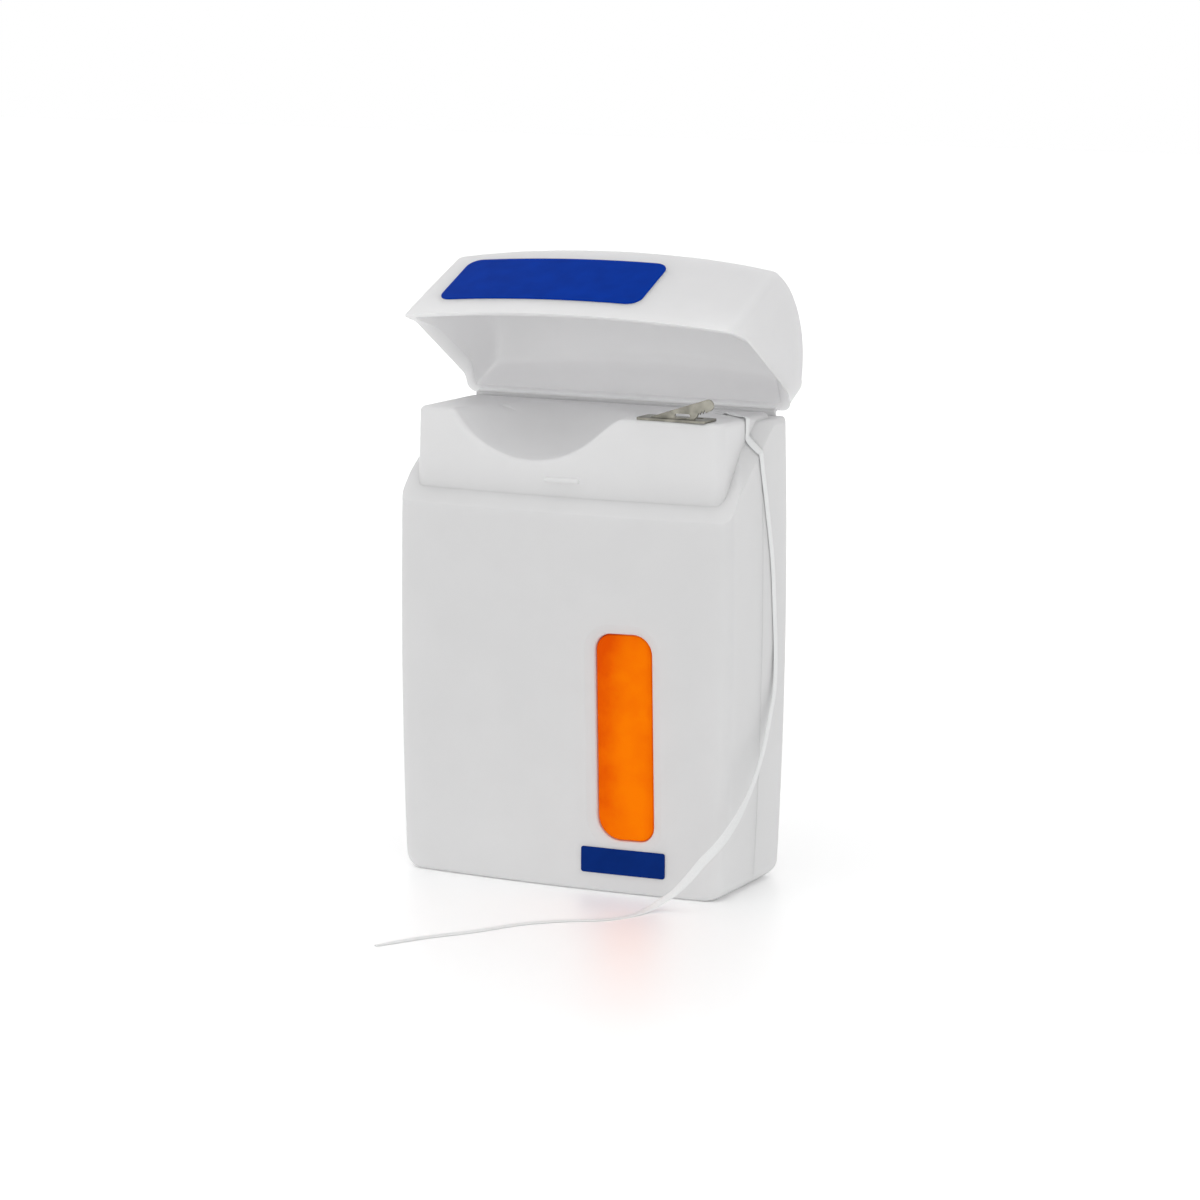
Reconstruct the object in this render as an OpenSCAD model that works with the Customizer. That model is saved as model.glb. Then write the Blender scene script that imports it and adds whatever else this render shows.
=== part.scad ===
// Flip-top dental floss dispenser, standing on its base with the cap open.
// Front is -Y, up is +Z, and the origin is the middle of the base.

/* [Case] */
// Width of the case at its widest
case_w = 42.5; // [36:0.5:50]
// Depth of the case from the crowned front to the flat back
case_d = 17.8; // [16:0.2:24]
// Height of the rim at the middle of the front
shoulder_h = 43.5; // [40:0.5:46]
// Height of the case's back above the front rim
back_rise = 10.5; // [9:0.5:12]
// Height of the deck above the case's back
deck_rise = 0.5; // [0.3:0.1:0.8]
// Wall thickness of both case shells
wall = 1.35; // [1.2:0.05:1.5]
// How far the front face bulges between its corners
front_crown = 1.2; // [0.6:0.1:2]
// How far each side bulges between the widest point and the base
side_barrel = 0.8; // [0.3:0.05:0.9]
// Height at which the case is widest
barrel_z = 32; // [28:1:36]
// Radius of the upright corners at the front
front_corner_r = 1.3; // [0.8:0.1:1.6]
// Radius of the upright corners at the back
back_corner_r = 1.2; // [0.8:0.1:1.6]
// Radius of the lower corners seen from the front
foot_r = 1.9; // [1.6:0.1:3]
// Smallest radius of the corners on inner and inset walls
inner_corner_r = 0.6; // [0.4:0.1:0.8]
// Smallest radius of the lower corners inside the case
foot_inner_r = 1; // [0.9:0.1:1.4]
// Distance of the seam between the shells in front of the back face
seam_back = 7.7; // [6:0.1:9]
// Width and depth of the groove along the seam
seam_groove = 0.3; // [0.2:0.05:0.4]
// Length of the locating lip past the seam
lip_l = 1.2; // [0.8:0.1:1.6]
// Thickness of the locating lip
lip_t = 0.6; // [0.4:0.1:0.8]
// Running clearance between moulded pieces that slip into each other
slip = 0.08; // [0.05:0.01:0.1]

/* [Rim] */
// Angle of the rim where it climbs along the sides
rim_angle = 35.4; // [33:0.2:42]
// How far in front of the middle the line of the climb leaves the front rim's height
rim_start = 9.4; // [8:0.1:9.6]
// Distance of the rim's top edge below the top of the back
rim_drop = 0.6; // [0.5:0.1:1.2]
// Radius where the climb meets the level stretches
rim_blend_r = 2.5; // [1:0.5:4]
// Slope angle of the bevel along the rim
rim_bevel = 50; // [45:1:54]

/* [Dispensing head] */
// Inset of the neck from the sides and back of the case
neck_side = 1.5; // [1.42:0.01:1.6]
// Inset of the neck from the front of the case
neck_front = 1.45; // [1.42:0.01:1.8]
// Radius of the neck's upright corners
neck_corner_r = 1.5; // [0.6:0.1:2]
// Wall thickness of the neck and the deck
neck_wall = 1.1; // [0.9:0.1:1.3]
// Length of the neck that is hidden below the rim
neck_below = 3; // [2:0.5:4]
// Radius of the dished finger scoop
scoop_r = 12.3; // [10:0.1:13]
// Depth of the scoop below the deck
scoop_depth = 5.3; // [4:0.1:6]
// Distance of the scoop to the left of the middle
scoop_left = 4.3; // [2:0.1:6]
// Diameter of the hole that the floss comes out of
floss_hole_d = 2.2; // [1.8:0.1:3]
// Distance of the floss hole from the right side
floss_hole_in = 6.05; // [5:0.05:7]
// Distance of the floss hole behind the middle
floss_hole_y = 4; // [3:0.1:5]
// Width of the snap bead on the front of the neck
bead_w = 4.2; // [3:0.1:6]
// Diameter of the snap bead
bead_d = 0.6; // [0.5:0.1:0.6]
// Distance of the snap bead above the case's front rim
bead_rise = 3.6; // [2.6:0.1:4]
// Width of each locking lug on the sides of the neck
lug_w = 3; // [2:0.5:4]
// Height of each locking lug
lug_h = 1.2; // [0.8:0.1:1.6]
// How far each locking lug stands out
lug_out = 0.7; // [0.4:0.1:0.9]

/* [Cap] */
// Height of the closed cap's highest point above the case's back
cap_rise = 12; // [11:0.5:14]
// Wall thickness of the cap
cap_wall = 1.1; // [1:0.05:1.2]
// Radius of the dome from front to back
dome_r = 12; // [11:0.5:14]
// Distance of the dome's middle behind the middle of the case
dome_back = 1.9; // [1:0.1:3]
// Radius of the crown across the top
crown_r = 82; // [70:2:100]
// Radius of the dome's corner at the back
dome_corner_r = 3.2; // [2:0.2:4]
// Radius of the cap's upper corners seen from the front
cap_corner_r = 1.6; // [1:0.2:3]
// Upright gap between the rim of the case and the rim of the cap
cap_seam = 0.5; // [0.4:0.05:0.7]
// Angle by which the cap stands open in its resting pose
open_angle = 66; // [50:1:75]

/* [Living hinge] */
// Distance of the hinge line in front of the back face
hinge_in = 0.4; // [0.35:0.05:0.5]
// Upright gap between case and cap that the web bridges
hinge_gap = 1; // [0.9:0.05:1.2]
// Thickness of the hinge web
web_t = 0.4; // [0.3:0.05:0.4]
// Radius of the rounded fold of the web
fold_r = 0.3; // [0.25:0.01:0.32]
// Clearance between the fold and the cap's half of the web
fold_gap = 0.09; // [0.08:0.01:0.1]
// Distance of the web's ends from the sides of the case
web_end = 1.9; // [1.2:0.1:2.5]

/* [Window] */
// Width of the window
window_w = 7; // [5:0.5:9]
// Height of the window
window_h = 24; // [18:0.5:28]
// Height of the window's lower edge above the base
window_z = 6.1; // [6:0.1:9]
// Distance of the window's middle from the right side
window_in = 12.85; // [11:0.05:14]
// Corner radius of the window
window_r = 2; // [1:0.2:3]
// Angle by which the window's upper end leans to the left
window_lean = 1.2; // [0:0.1:2]
// How far the pane sits behind the front face
pane_in = 0.5; // [0.3:0.1:0.8]
// Width of the pane's flange behind the wall
flange_w = 0.9; // [0.6:0.1:1.2]
// Thickness of the pane's flange
flange_t = 0.6; // [0.4:0.1:0.8]

/* [Cutter] */
// Length of the cutter's base plate
cutter_l = 8.6; // [7:0.1:9]
// Width of the cutter's base plate
cutter_w = 3.4; // [2.6:0.1:4]
// Thickness of the cutter's sheet metal
cutter_t = 0.3; // [0.2:0.05:0.4]
// Distance of the cutter's left end from the right side
cutter_in = 12.55; // [12:0.05:14]
// Distance of the cutter's front edge behind the front face
cutter_back = 2.3; // [2.1:0.1:2.9]
// Distance of the tooth behind the cutter's front edge
tooth_in = 0.7; // [0.5:0.1:1]
// Distance of the tooth's point from the plate's left end
tooth_x = 1.5; // [1:0.1:2]
// Height of the hooked tooth above the plate
tooth_h = 2.7; // [2:0.1:3]
// Length of the hooked tooth
tooth_l = 7.9; // [6:0.1:8.4]
// Height of the slot under the tooth's hook
tooth_slot = 0.7; // [0.5:0.05:0.9]
// Radius of the tooth's rounded end
tooth_r = 0.75; // [0.5:0.05:0.9]
// Distance of the hook's slot from the tooth's rounded end
hook_l = 2.3; // [1.8:0.1:3]
// Length of the prongs that hold the cutter in the deck
prong_l = 1.6; // [1:0.1:2]

/* [Spool] */
// Height of the spool's axle above the base
spool_z = 19.5; // [19:0.5:22]
// Diameter of the axle stub on the rear shell
axle_d = 5.6; // [5:0.2:6]
// Outer diameter of the spool core
core_d = 14; // [12:0.5:17]
// Width of the spool core
core_w = 10.6; // [9:0.1:11]
// Outer diameter of the floss wound on the core
winding_d = 33; // [26:0.5:33.5]
// Width of the wound floss
winding_w = 9.8; // [8:0.1:10]
// Gap between the spool and the rings beside it
thrust_gap = 0.3; // [0.2:0.05:0.4]

/* [Floss] */
// Width of the floss ribbon
floss_w = 1; // [0.8:0.1:1.2]
// Thickness of the floss ribbon
floss_t = 0.14; // [0.1:0.01:0.16]

/* [Snap pegs] */
// Diameter of each peg on the front shell
peg_d = 1.8; // [1.4:0.1:2]
// Outer diameter of each socket on the rear shell
socket_d = 3.4; // [3:0.1:3.6]
// Distance of the lower pegs from the sides of the case
peg_side = 4.4; // [4.2:0.1:4.8]
// Distance of the upper pegs from the sides of the case
peg_side_high = 3.2; // [3.1:0.05:3.3]
// Height of the lower pegs above the base
peg_low_z = 4.1; // [3.8:0.1:4.5]
// Distance of the upper pegs below the front rim
peg_drop = 7; // [6.5:0.5:9]

/* [Labels] */
// Width of the plain label on the cap
cap_label_w = 25.8; // [18:0.2:28]
// Height of the plain label on the cap
cap_label_h = 9.6; // [7:0.2:11]
// Distance of the cap label's middle to the left
cap_label_left = 4.8; // [0:0.2:6]
// Distance of the cap label's middle below the case's back with the cap closed
cap_label_drop = 1.9; // [1:0.1:4]
// Corner radius of the cap label
cap_label_r = 1.6; // [1:0.2:2.4]
// Width of the plain label below the window
front_label_w = 10.4; // [8:0.2:12]
// Height of the plain label below the window
front_label_h = 3; // [2:0.2:3]
// Height of the front label's middle above the base
front_label_z = 3.7; // [3.6:0.1:4]
// Thickness of both labels
label_t = 0.12; // [0.1:0.01:0.2]

/* [Hidden] */

white = [0.9, 0.9, 0.91];
inner_white = [0.93, 0.93, 0.94];
steel = [0.52, 0.51, 0.46];
orange = [0.93, 0.45, 0.02];
mint = [0.86, 0.93, 0.92];
blue = [0.05, 0.2, 0.6];

// Overrun that carries cuts past a face
over = 1;
// Stand-off that keeps one face from sinking into another
skin_gap = 0.02;
// How far a corner's round passes its faces
crossing = 0.01;
// Fineness of round faces: great arcs, middling and small
fine_great = 360;
fine = 96;
fine_small = 48;

half_w = case_w / 2;
half_d = case_d / 2;
back_h = shoulder_h + back_rise;
deck_h = back_h + deck_rise;
cap_top = back_h + cap_rise;
floss_hole_x = half_w - floss_hole_in;
window_x = half_w - window_in;
cutter_x = half_w - cutter_in;
cutter_y = half_d - cutter_back;
cap_label_z = back_h - cap_label_drop;
peg_high_z = shoulder_h - peg_drop;
seam_y = half_d - seam_back;
front_r = (half_w * half_w + front_crown * front_crown) / (2 * front_crown);
front_y0 = front_r - half_d;
side_r = (barrel_z * barrel_z + side_barrel * side_barrel) / (2 * side_barrel);
side_x0 = side_r - half_w;
bevel_k = tan(rim_bevel);
rim_side_x = half_w - side_barrel / 4;
rim_top = back_h - rim_drop;
neck_z = shoulder_h - neck_below;
hinge_y = half_d - hinge_in;
hinge_z = back_h + hinge_gap / 2;
cap_bottom = back_h + hinge_gap;
web_half = half_w - web_end;
crown_z0 = cap_top - crown_r;
dome_rho = crown_r - dome_r;
scoop_z = deck_h - scoop_depth + scoop_r;
head_floor_z = deck_h - neck_wall;
core_y = -core_w / 2 + thrust_gap / 2;
ring_d = axle_d + 2 * neck_wall;
front_boss_l = core_y - thrust_gap + half_d - wall / 2;

// Half width of the case at height z
function half_width(z, i = 0) = sqrt(pow(side_r - i, 2) - pow(z - barrel_z, 2)) - side_x0;

// Place along Y of the crowned front at distance x from the middle
function front_at(x, i = 0) = front_y0 - sqrt(pow(front_r - i, 2) - x * x);

// Length of a peg from the seam into the middle of the front wall
function peg_root() = seam_y - front_at(half_w - peg_side, wall / 2);

// Wedge from angle a0 to a1 around a corner's middle, mirrored for s below zero
module wedge(s, x, y, a0, a1, reach) {
    am = (a0 + a1) / 2;
    polygon([[s * x, y],
        [s * (x + reach * cos(a0)), y + reach * sin(a0)],
        [s * (x + 2 * reach * cos(am)), y + 2 * reach * sin(am)],
        [s * (x + reach * cos(a1)), y + reach * sin(a1)]]);
}

// Round that fills a corner and crosses its two faces instead of only touching them
module corner(s, x, y, r) {
    translate([s * x, y]) circle(r = r + crossing, $fn = fine_small);
}

// Outline of the case from above, i inside its sides and back and fi inside its front
module plan(i, fi, least = inner_corner_r) {
    r = max(front_corner_r - i, least);
    rb = max(back_corner_r - i, least);
    x_side = half_w - i + skin_gap;
    x_c = x_side - r;
    y_c = front_at(x_c, fi + r);
    x_b = x_side - rb;
    y_b = half_d - i - rb;
    tilt = asin(x_c / (front_r - fi - r));
    difference() {
        intersection() {
            translate([0, front_y0]) rotate(90) circle(r = front_r - fi, $fn = fine_great);
            translate([-x_side, -half_d - over]) square([2 * x_side, case_d + over - i]);
        }
        for (s = [-1, 1]) {
            wedge(s, x_c, y_c, tilt - 90, 0, 3 * r);
            wedge(s, x_b, y_b, 0, 90, 3 * rb);
        }
    }
    for (s = [-1, 1]) {
        corner(s, x_c, y_c, r);
        corner(s, x_b, y_b, rb);
    }
}

// Barrelled sides from the front, from z0 up to z1
module sides(i, z0, z1) {
    intersection() {
        translate([-side_x0, barrel_z]) rotate(90) circle(r = side_r - i, $fn = fine_great);
        translate([side_x0, barrel_z]) rotate(90) circle(r = side_r - i, $fn = fine_great);
        translate([-case_w, z0]) square([2 * case_w, z1 - z0]);
    }
}

// Outline of the case from the front with its rounded lower corners
module face(i, z1) {
    r = max(foot_r - i, foot_inner_r);
    z_c = i + r;
    x_c = half_width(z_c, i + r);
    tilt = asin((barrel_z - z_c) / (side_r - i - r));
    difference() {
        sides(i, i, z1);
        for (s = [-1, 1]) wedge(s, x_c, z_c, -90, -tilt, 3 * r);
    }
    for (s = [-1, 1]) corner(s, x_c, z_c, r);
}

// Stands an outline drawn in X and Z upright, centred on Y
module upright(depth) {
    rotate([90, 0, 0]) translate([0, 0, -depth / 2]) linear_extrude(height = depth) children();
}

// Solid of the case, i inside its outer surface
module case_form(i) {
    intersection() {
        translate([0, 0, -over]) linear_extrude(height = cap_top) plan(i, i);
        upright(2 * case_d) face(i, back_h + over);
    }
}

// Solid with the case's sides from z0 to z1
module band_form(i, fi, z0, z1, least = inner_corner_r) {
    intersection() {
        translate([0, 0, z0 - over]) linear_extrude(height = z1 - z0 + 2 * over) plan(i, fi, least);
        upright(2 * case_d) sides(i, z0, z1);
    }
}

// Height of the rim's outer edge on the sides, as points from front to back
function rim_line(lift, top) = let(
    slope = tan(rim_angle),
    z1 = shoulder_h + lift,
    y1 = -rim_start,
    y2 = y1 + (top - z1) / slope,
    t = rim_blend_r * tan(rim_angle / 2))
    concat(
        [[-case_d, z1]],
        [for (a = [0 : rim_angle / 4 : rim_angle])
            [y1 - t + rim_blend_r * sin(a), z1 + rim_blend_r * (1 - cos(a))]],
        [for (a = [rim_angle : -rim_angle / 4 : 0])
            [y2 + t - rim_blend_r * sin(a), top - rim_blend_r * (1 - cos(a))]],
        [[case_d, top]]);

// Space under the bevelled rim on one side
module side_roof(lift, top) {
    c = cos(rim_bevel);
    pts = [for (p = rim_line(lift, top)) [(p[1] + bevel_k * rim_side_x) * c, p[0]]];
    reach = 3 * case_w;
    multi = concat([[-reach, -case_d]], pts, [[-reach, case_d]]);
    rotate([0, rim_bevel - 90, 0]) translate([0, 0, -reach]) linear_extrude(height = 2 * reach)
        polygon(multi);
}

// Space under the bevelled rim of the crowned front
module front_roof(lift) {
    z1 = shoulder_h + lift;
    h = front_r / 4;
    translate([0, front_y0, 0]) {
        translate([0, 0, -over]) cylinder(r = front_r + over, h = z1 + over, $fn = fine_great);
        translate([0, 0, z1]) cylinder(r1 = front_r, r2 = front_r - h / bevel_k, h = h, $fn = fine_great);
    }
}

// Everything that lies under the rim
module roof(lift, top, cap_z) {
    intersection() {
        side_roof(lift, top);
        mirror([1, 0, 0]) side_roof(lift, top);
        front_roof(lift);
        translate([-case_w, -case_d, -over]) cube([2 * case_w, 2 * case_d, cap_z + over]);
    }
}

// Thin frame around the seam plane that the groove is cut from
module seam_cut() {
    intersection() {
        translate([-case_w, seam_y - seam_groove / 2, -over]) cube([2 * case_w, seam_groove, cap_top]);
        difference() {
            case_form(-over);
            case_form(seam_groove);
        }
    }
}

module behind_seam() {
    translate([-case_w, seam_y, -over]) cube([2 * case_w, case_d, cap_top]);
}

// Walls of the whole case under the rim
module case_walls() {
    intersection() {
        difference() {
            case_form(0);
            difference() {
                case_form(wall);
                translate([-case_w, -case_d, neck_z - wall]) ledge();
            }
        }
        roof(0, rim_top, back_h);
    }
}

// Ledge inside the case that the dispensing head stands on
module ledge() {
    difference() {
        cube([2 * case_w, 2 * case_d, wall]);
        translate([case_w, case_d, -over]) linear_extrude(height = wall + 2 * over)
            plan(neck_side + neck_wall, neck_front + neck_wall);
    }
}

// Places a peg or a socket at each of the four inner corners
module at_pegs() {
    for (s = [-1, 1], at = [[half_w - peg_side, peg_low_z], [half_w - peg_side_high, peg_high_z]])
        translate([s * at[0], seam_y, at[1]]) rotate([-90, 0, 0]) children();
}

// Pockets in the side walls for the locking lugs of the head
module lug_pockets(clear) {
    for (s = [-1, 1], y = [seam_y - lug_w - lip_l, seam_y + lip_l])
        translate([s * (half_w - neck_side - neck_wall), y - clear, neck_z + lug_h - clear])
            translate([s > 0 ? 0 : -lug_reach(), 0, 0])
                cube([lug_reach(), lug_w + 2 * clear, lug_h + 2 * clear]);
}

// Distance from inside the neck's wall to the end of a lug
function lug_reach() = neck_wall + lug_out;

module front_shell() {
    color(white) {
        difference() {
            case_walls();
            behind_seam();
            seam_cut();
            window_cut(0);
            lug_pockets(slip);
        }
        difference() {
            locating_lip();
            at_pegs() translate([0, 0, -slip])
                cylinder(d = socket_d + 2 * slip, h = 2 * lip_l, $fn = fine_small);
        }
        difference() {
            translate([0, 0, spool_z]) rotate([90, 0, 0]) difference() {
                translate([0, 0, thrust_gap - core_y]) cylinder(d = ring_d, h = front_boss_l, $fn = fine);
                cylinder(d = axle_d + 4 * slip, h = half_d - wall, $fn = fine);
            }
            window_cut(flange_w + slip);
        }
        at_pegs() translate([0, 0, -peg_root()])
            cylinder(d = peg_d, h = peg_root() + 2 * lip_l, $fn = fine_small);
    }
}

// Lip of the front shell that slips inside the rear shell
module locating_lip() {
    lip_band(wall / 2, lip_l, 0);
    lip_band(wall + slip, lip_l, lip_l);
}

// Band of the lip, i inside the case, reaching before and behind the seam
module lip_band(i, before, behind) {
    intersection() {
        difference() {
            case_form(i);
            case_form(wall + lip_t);
        }
        translate([-case_w, seam_y - before, -over])
            cube([2 * case_w, before + behind, neck_z - wall - slip + over]);
    }
}

// Cuts the outer edge beside the hinge so that the cap can fold back
module hinge_bevel() {
    translate([-case_w, -web_t * cos(45) / 2, -case_d]) cube([2 * case_w, case_d, 2 * case_d]);
}

module rear_shell() {
    color(white) {
        difference() {
            intersection() {
                case_walls();
                behind_seam();
            }
            seam_cut();
            lug_pockets(slip);
            translate([0, half_d, back_h]) rotate([45, 0, 0]) hinge_bevel();
        }
        translate([0, 0, spool_z]) rotate([90, 0, 0]) {
            translate([0, 0, wall / 2 - half_d]) cylinder(d = axle_d, h = half_d - core_y + wall / 2, $fn = fine);
            translate([0, 0, wall / 2 - half_d])
                cylinder(d = ring_d, h = half_d - core_y - core_w - thrust_gap - wall / 2, $fn = fine);
        }
        at_pegs() translate([0, 0, slip]) difference() {
            cylinder(d = socket_d, h = seam_back - wall / 2, $fn = fine_small);
            cylinder(d = peg_d + 2 * slip, h = 2 * lip_l + lip_t, $fn = fine_small);
        }
    }
}

// Bare neck, closed all round
module neck_solid(i) {
    least = max(neck_corner_r - i, inner_corner_r);
    band_form(neck_side + i, neck_front + i, neck_z - (i > 0 ? over : 0), deck_h - i, least);
}

module scoop_ball(r) {
    translate([-scoop_left, front_at(scoop_left, neck_front), scoop_z])
        rotate([0, 90, 0]) rotate([0, 0, -90]) sphere(r = r, $fn = 2 * fine);
}

module dispensing_head() {
    color(inner_white) {
        difference() {
            union() {
                difference() {
                    neck_solid(0);
                    neck_solid(neck_wall);
                }
                intersection() {
                    neck_solid(0);
                    scoop_ball(scoop_r + neck_wall);
                }
                translate([floss_hole_x, floss_hole_y, head_floor_z - prong_l])
                    cylinder(d = floss_hole_d + 2 * neck_wall, h = prong_l + neck_wall / 2, $fn = fine_small);
            }
            scoop_ball(scoop_r);
            translate([floss_hole_x, floss_hole_y, neck_z])
                cylinder(d = floss_hole_d, h = deck_h, $fn = fine_small);
            cutter_prongs(slip);
        }
        intersection() {
            lug_pockets(0);
            difference() {
                band_form(neck_side - lug_out, neck_front, neck_z, deck_h);
                band_form(neck_side + slip, neck_front, neck_z - over, deck_h + over);
            }
        }
        snap_bead();
    }
}

// Bead on the front of the neck that the cap clicks over
module snap_bead() {
    difference() {
        translate([-bead_w / 2, front_at(bead_w, neck_front), shoulder_h + bead_rise]) rotate([0, 90, 0])
            cylinder(d = bead_d, h = bead_w, $fn = fine_small);
        neck_solid(0);
    }
}

// Prongs of the cutter, or the slots they sit in with a clearance around them
module cutter_prongs(clear) {
    for (x = [cutter_x + cutter_w / 2, cutter_x + cutter_l - cutter_w / 2])
        translate([x - cutter_w / 4 - clear, -cutter_y + cutter_w / 2 - clear, deck_h - prong_l - clear])
            cube([cutter_w / 2 + 2 * clear, cutter_t + 2 * clear, prong_l + 2 * clear + (clear > 0 ? over : 0)]);
}

// Hooked tooth seen from the front, with saw teeth under its hook
module tooth_outline() {
    end_x = tooth_l - tooth_r;
    end_z = tooth_h - tooth_r;
    teeth = 3;
    pitch = (hook_l - tooth_r) / teeth;
    polygon(concat(
        [[0, 0], [0, cutter_t / 2]],
        [for (a = [105 : -30 : -75]) [end_x + tooth_r * cos(a), end_z + tooth_r * sin(a)]],
        [for (k = [0 : teeth - 1]) each [
            [end_x - (k + 0.2) * pitch, tooth_slot + pitch / 3],
            [end_x - (k + 0.8) * pitch, tooth_slot + pitch]]],
        [[tooth_l - hook_l, tooth_slot], [tooth_l - hook_l - tooth_slot, 0]]));
}

module cutter() {
    color(steel) {
        translate([cutter_x, -cutter_y, deck_h]) {
            difference() {
                cube([cutter_l, cutter_w, cutter_t]);
                translate([cutter_l - cutter_w / 2, 3 * cutter_w / 4, -over])
                    cylinder(d = cutter_w / 4, h = cutter_t + 2 * over, $fn = fine_small);
            }
            translate([tooth_x, tooth_in + cutter_t, cutter_t / 2]) rotate([90, 0, 0])
                linear_extrude(height = cutter_t) tooth_outline();
        }
        cutter_prongs(0);
    }
}

// Dome of the cap, i inside its outer surface
module dome(i) {
    r = dome_r - i;
    rc = max(dome_corner_r - i, inner_corner_r);
    y_c = half_d - i - rc;
    rho_c = dome_rho + sqrt(pow(r - rc, 2) - pow(y_c - dome_back, 2));
    tilt = atan((y_c - dome_back) / (rho_c - dome_rho));
    low = dome_rho - cap_top / 2;
    translate([0, 0, crown_z0]) rotate([-90, 0, 0]) rotate_extrude($fn = fine_great) {
        difference() {
            union() {
                translate([low, dome_back - r]) square([dome_rho - low, half_d - i - dome_back + r]);
                intersection() {
                    translate([dome_rho, dome_back]) rotate(180) circle(r = r, $fn = 2 * fine);
                    translate([dome_rho, dome_back - case_w]) square([case_w, case_w - dome_back + half_d - i]);
                }
            }
            wedge(1, rho_c, y_c, tilt, 90, 3 * rc);
        }
        corner(1, rho_c, y_c, rc);
    }
}

// Solid of the closed cap, i inside its outer surface
module cap_form(i) {
    intersection() {
        band_form(i, i, shoulder_h - over, cap_top + over);
        dome(i);
        upright(2 * case_d) cap_face(i);
    }
}

// Outline of the cap from the front with its rounded upper corners
module cap_face(i) {
    r = max(cap_corner_r - i, inner_corner_r);
    rho = crown_r - i - r;
    x_1 = half_width(cap_top - crown_drop(half_w) - r, i + r);
    z_c = crown_z0 + sqrt(rho * rho - x_1 * x_1);
    x_c = half_width(z_c, i + r);
    top_tilt = asin(x_c / rho);
    side_tilt = asin((z_c - barrel_z) / (side_r - i - r));
    difference() {
        sides(i, shoulder_h - over, cap_top + over);
        for (s = [-1, 1]) wedge(s, x_c, z_c, side_tilt, 90 - top_tilt, 3 * r);
    }
    for (s = [-1, 1]) corner(s, x_c, z_c, r);
}

// How far the crown falls from the middle to distance x
function crown_drop(x) = crown_r - sqrt(crown_r * crown_r - x * x);

// Turns what is drawn closed into the resting pose of the cap
module opened() {
    translate([0, hinge_y, hinge_z]) rotate([-open_angle, 0, 0])
        translate([0, -hinge_y, -hinge_z]) children();
}

module cap() {
    color(white) opened() {
        difference() {
            cap_form(0);
            cap_form(cap_wall);
            roof(cap_seam, cap_bottom, cap_bottom);
            translate([0, half_d, cap_bottom]) rotate([-45, 0, 0]) hinge_bevel();
        }
        difference() {
            translate([-web_half, hinge_y - web_t / 2, hinge_z])
                cube([2 * web_half, web_t, hinge_gap / 2 + cap_wall / 4]);
            translate([-case_w, hinge_y, hinge_z]) rotate([0, 90, 0])
                cylinder(r = fold_r + fold_gap, h = 2 * case_w, $fn = fine_small);
        }
    }
}

module living_hinge() {
    color(white) {
        translate([-web_half, hinge_y - web_t / 2, back_h]) cube([2 * web_half, web_t, hinge_gap / 2]);
        translate([-web_half, hinge_y, hinge_z]) rotate([0, 90, 0])
            cylinder(r = fold_r, h = 2 * web_half, $fn = fine_small);
    }
}

// Upright rounded rectangle with its middle at x and z
module rounded_plate(x, z, w, h, r) {
    upright(4 * case_d) {
        translate([x - w / 2, z - h / 2 + r]) square([w, h - 2 * r]);
        translate([x - w / 2 + r, z - h / 2]) square([w - 2 * r, h]);
        for (sx = [-1, 1], sz = [-1, 1])
            translate([x + sx * (w / 2 - r), z + sz * (h / 2 - r)]) circle(r = r, $fn = fine_small);
    }
}

// Opening of the window, or its pane with a clearance below zero
module window_cut(clear) {
    intersection() {
        translate([window_x, 0, window_z + window_h / 2]) rotate([0, -window_lean, 0])
            rounded_plate(0, 0, window_w + 2 * clear, window_h + 2 * clear, window_r + clear);
        in_front();
    }
}

module in_front() {
    translate([-case_w, -case_d, -over]) cube([2 * case_w, case_d, cap_top]);
}

module window_pane() {
    color(orange) {
        intersection() {
            window_cut(-slip);
            difference() {
                case_form(pane_in);
                case_form(wall + flange_t / 2);
            }
        }
        intersection() {
            window_cut(flange_w);
            difference() {
                case_form(wall + skin_gap);
                case_form(wall + flange_t);
            }
        }
    }
}

module spool_core() {
    color(inner_white) translate([0, core_y, spool_z]) rotate([-90, 0, 0]) {
        difference() {
            cylinder(d = axle_d + 2 * slip + 2 * neck_wall, h = core_w, $fn = fine);
            translate([0, 0, -over]) cylinder(d = axle_d + 2 * slip, h = core_w + 2 * over, $fn = fine);
        }
        difference() {
            cylinder(d = core_d, h = core_w, $fn = fine);
            translate([0, 0, -over]) cylinder(d = core_d - 2 * neck_wall, h = core_w + 2 * over, $fn = fine);
        }
        difference() {
            translate([0, 0, core_w / 2 - neck_wall / 2]) cylinder(d = core_d - neck_wall, h = neck_wall, $fn = fine);
            translate([0, 0, -over]) cylinder(d = axle_d + neck_wall, h = core_w + 2 * over, $fn = fine);
        }
    }
}

module floss_winding() {
    color(mint) translate([0, core_y + (core_w - winding_w) / 2, spool_z]) rotate([-90, 0, 0])
        difference() {
            cylinder(d = winding_d, h = winding_w, $fn = fine);
            translate([0, 0, -over]) cylinder(d = core_d, h = winding_w + 2 * over, $fn = fine);
        }
}

// Height at which the strand leaves the winding, straight below the floss hole
lead_r = winding_d / 2 + 2 * slip;
lead_z = spool_z + sqrt(abs(lead_r * lead_r - pow(floss_hole_x - floss_t / 2, 2)));
lead_top = deck_h - floss_w / 2 - skin_gap;

// Strand inside the case, from the winding's edge up into the floss hole
module floss_lead() {
    color(mint) translate([floss_hole_x - floss_t / 2, floss_hole_y - floss_w / 2, lead_z])
        cube([floss_t, floss_w, lead_top - lead_z]);
}

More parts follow.
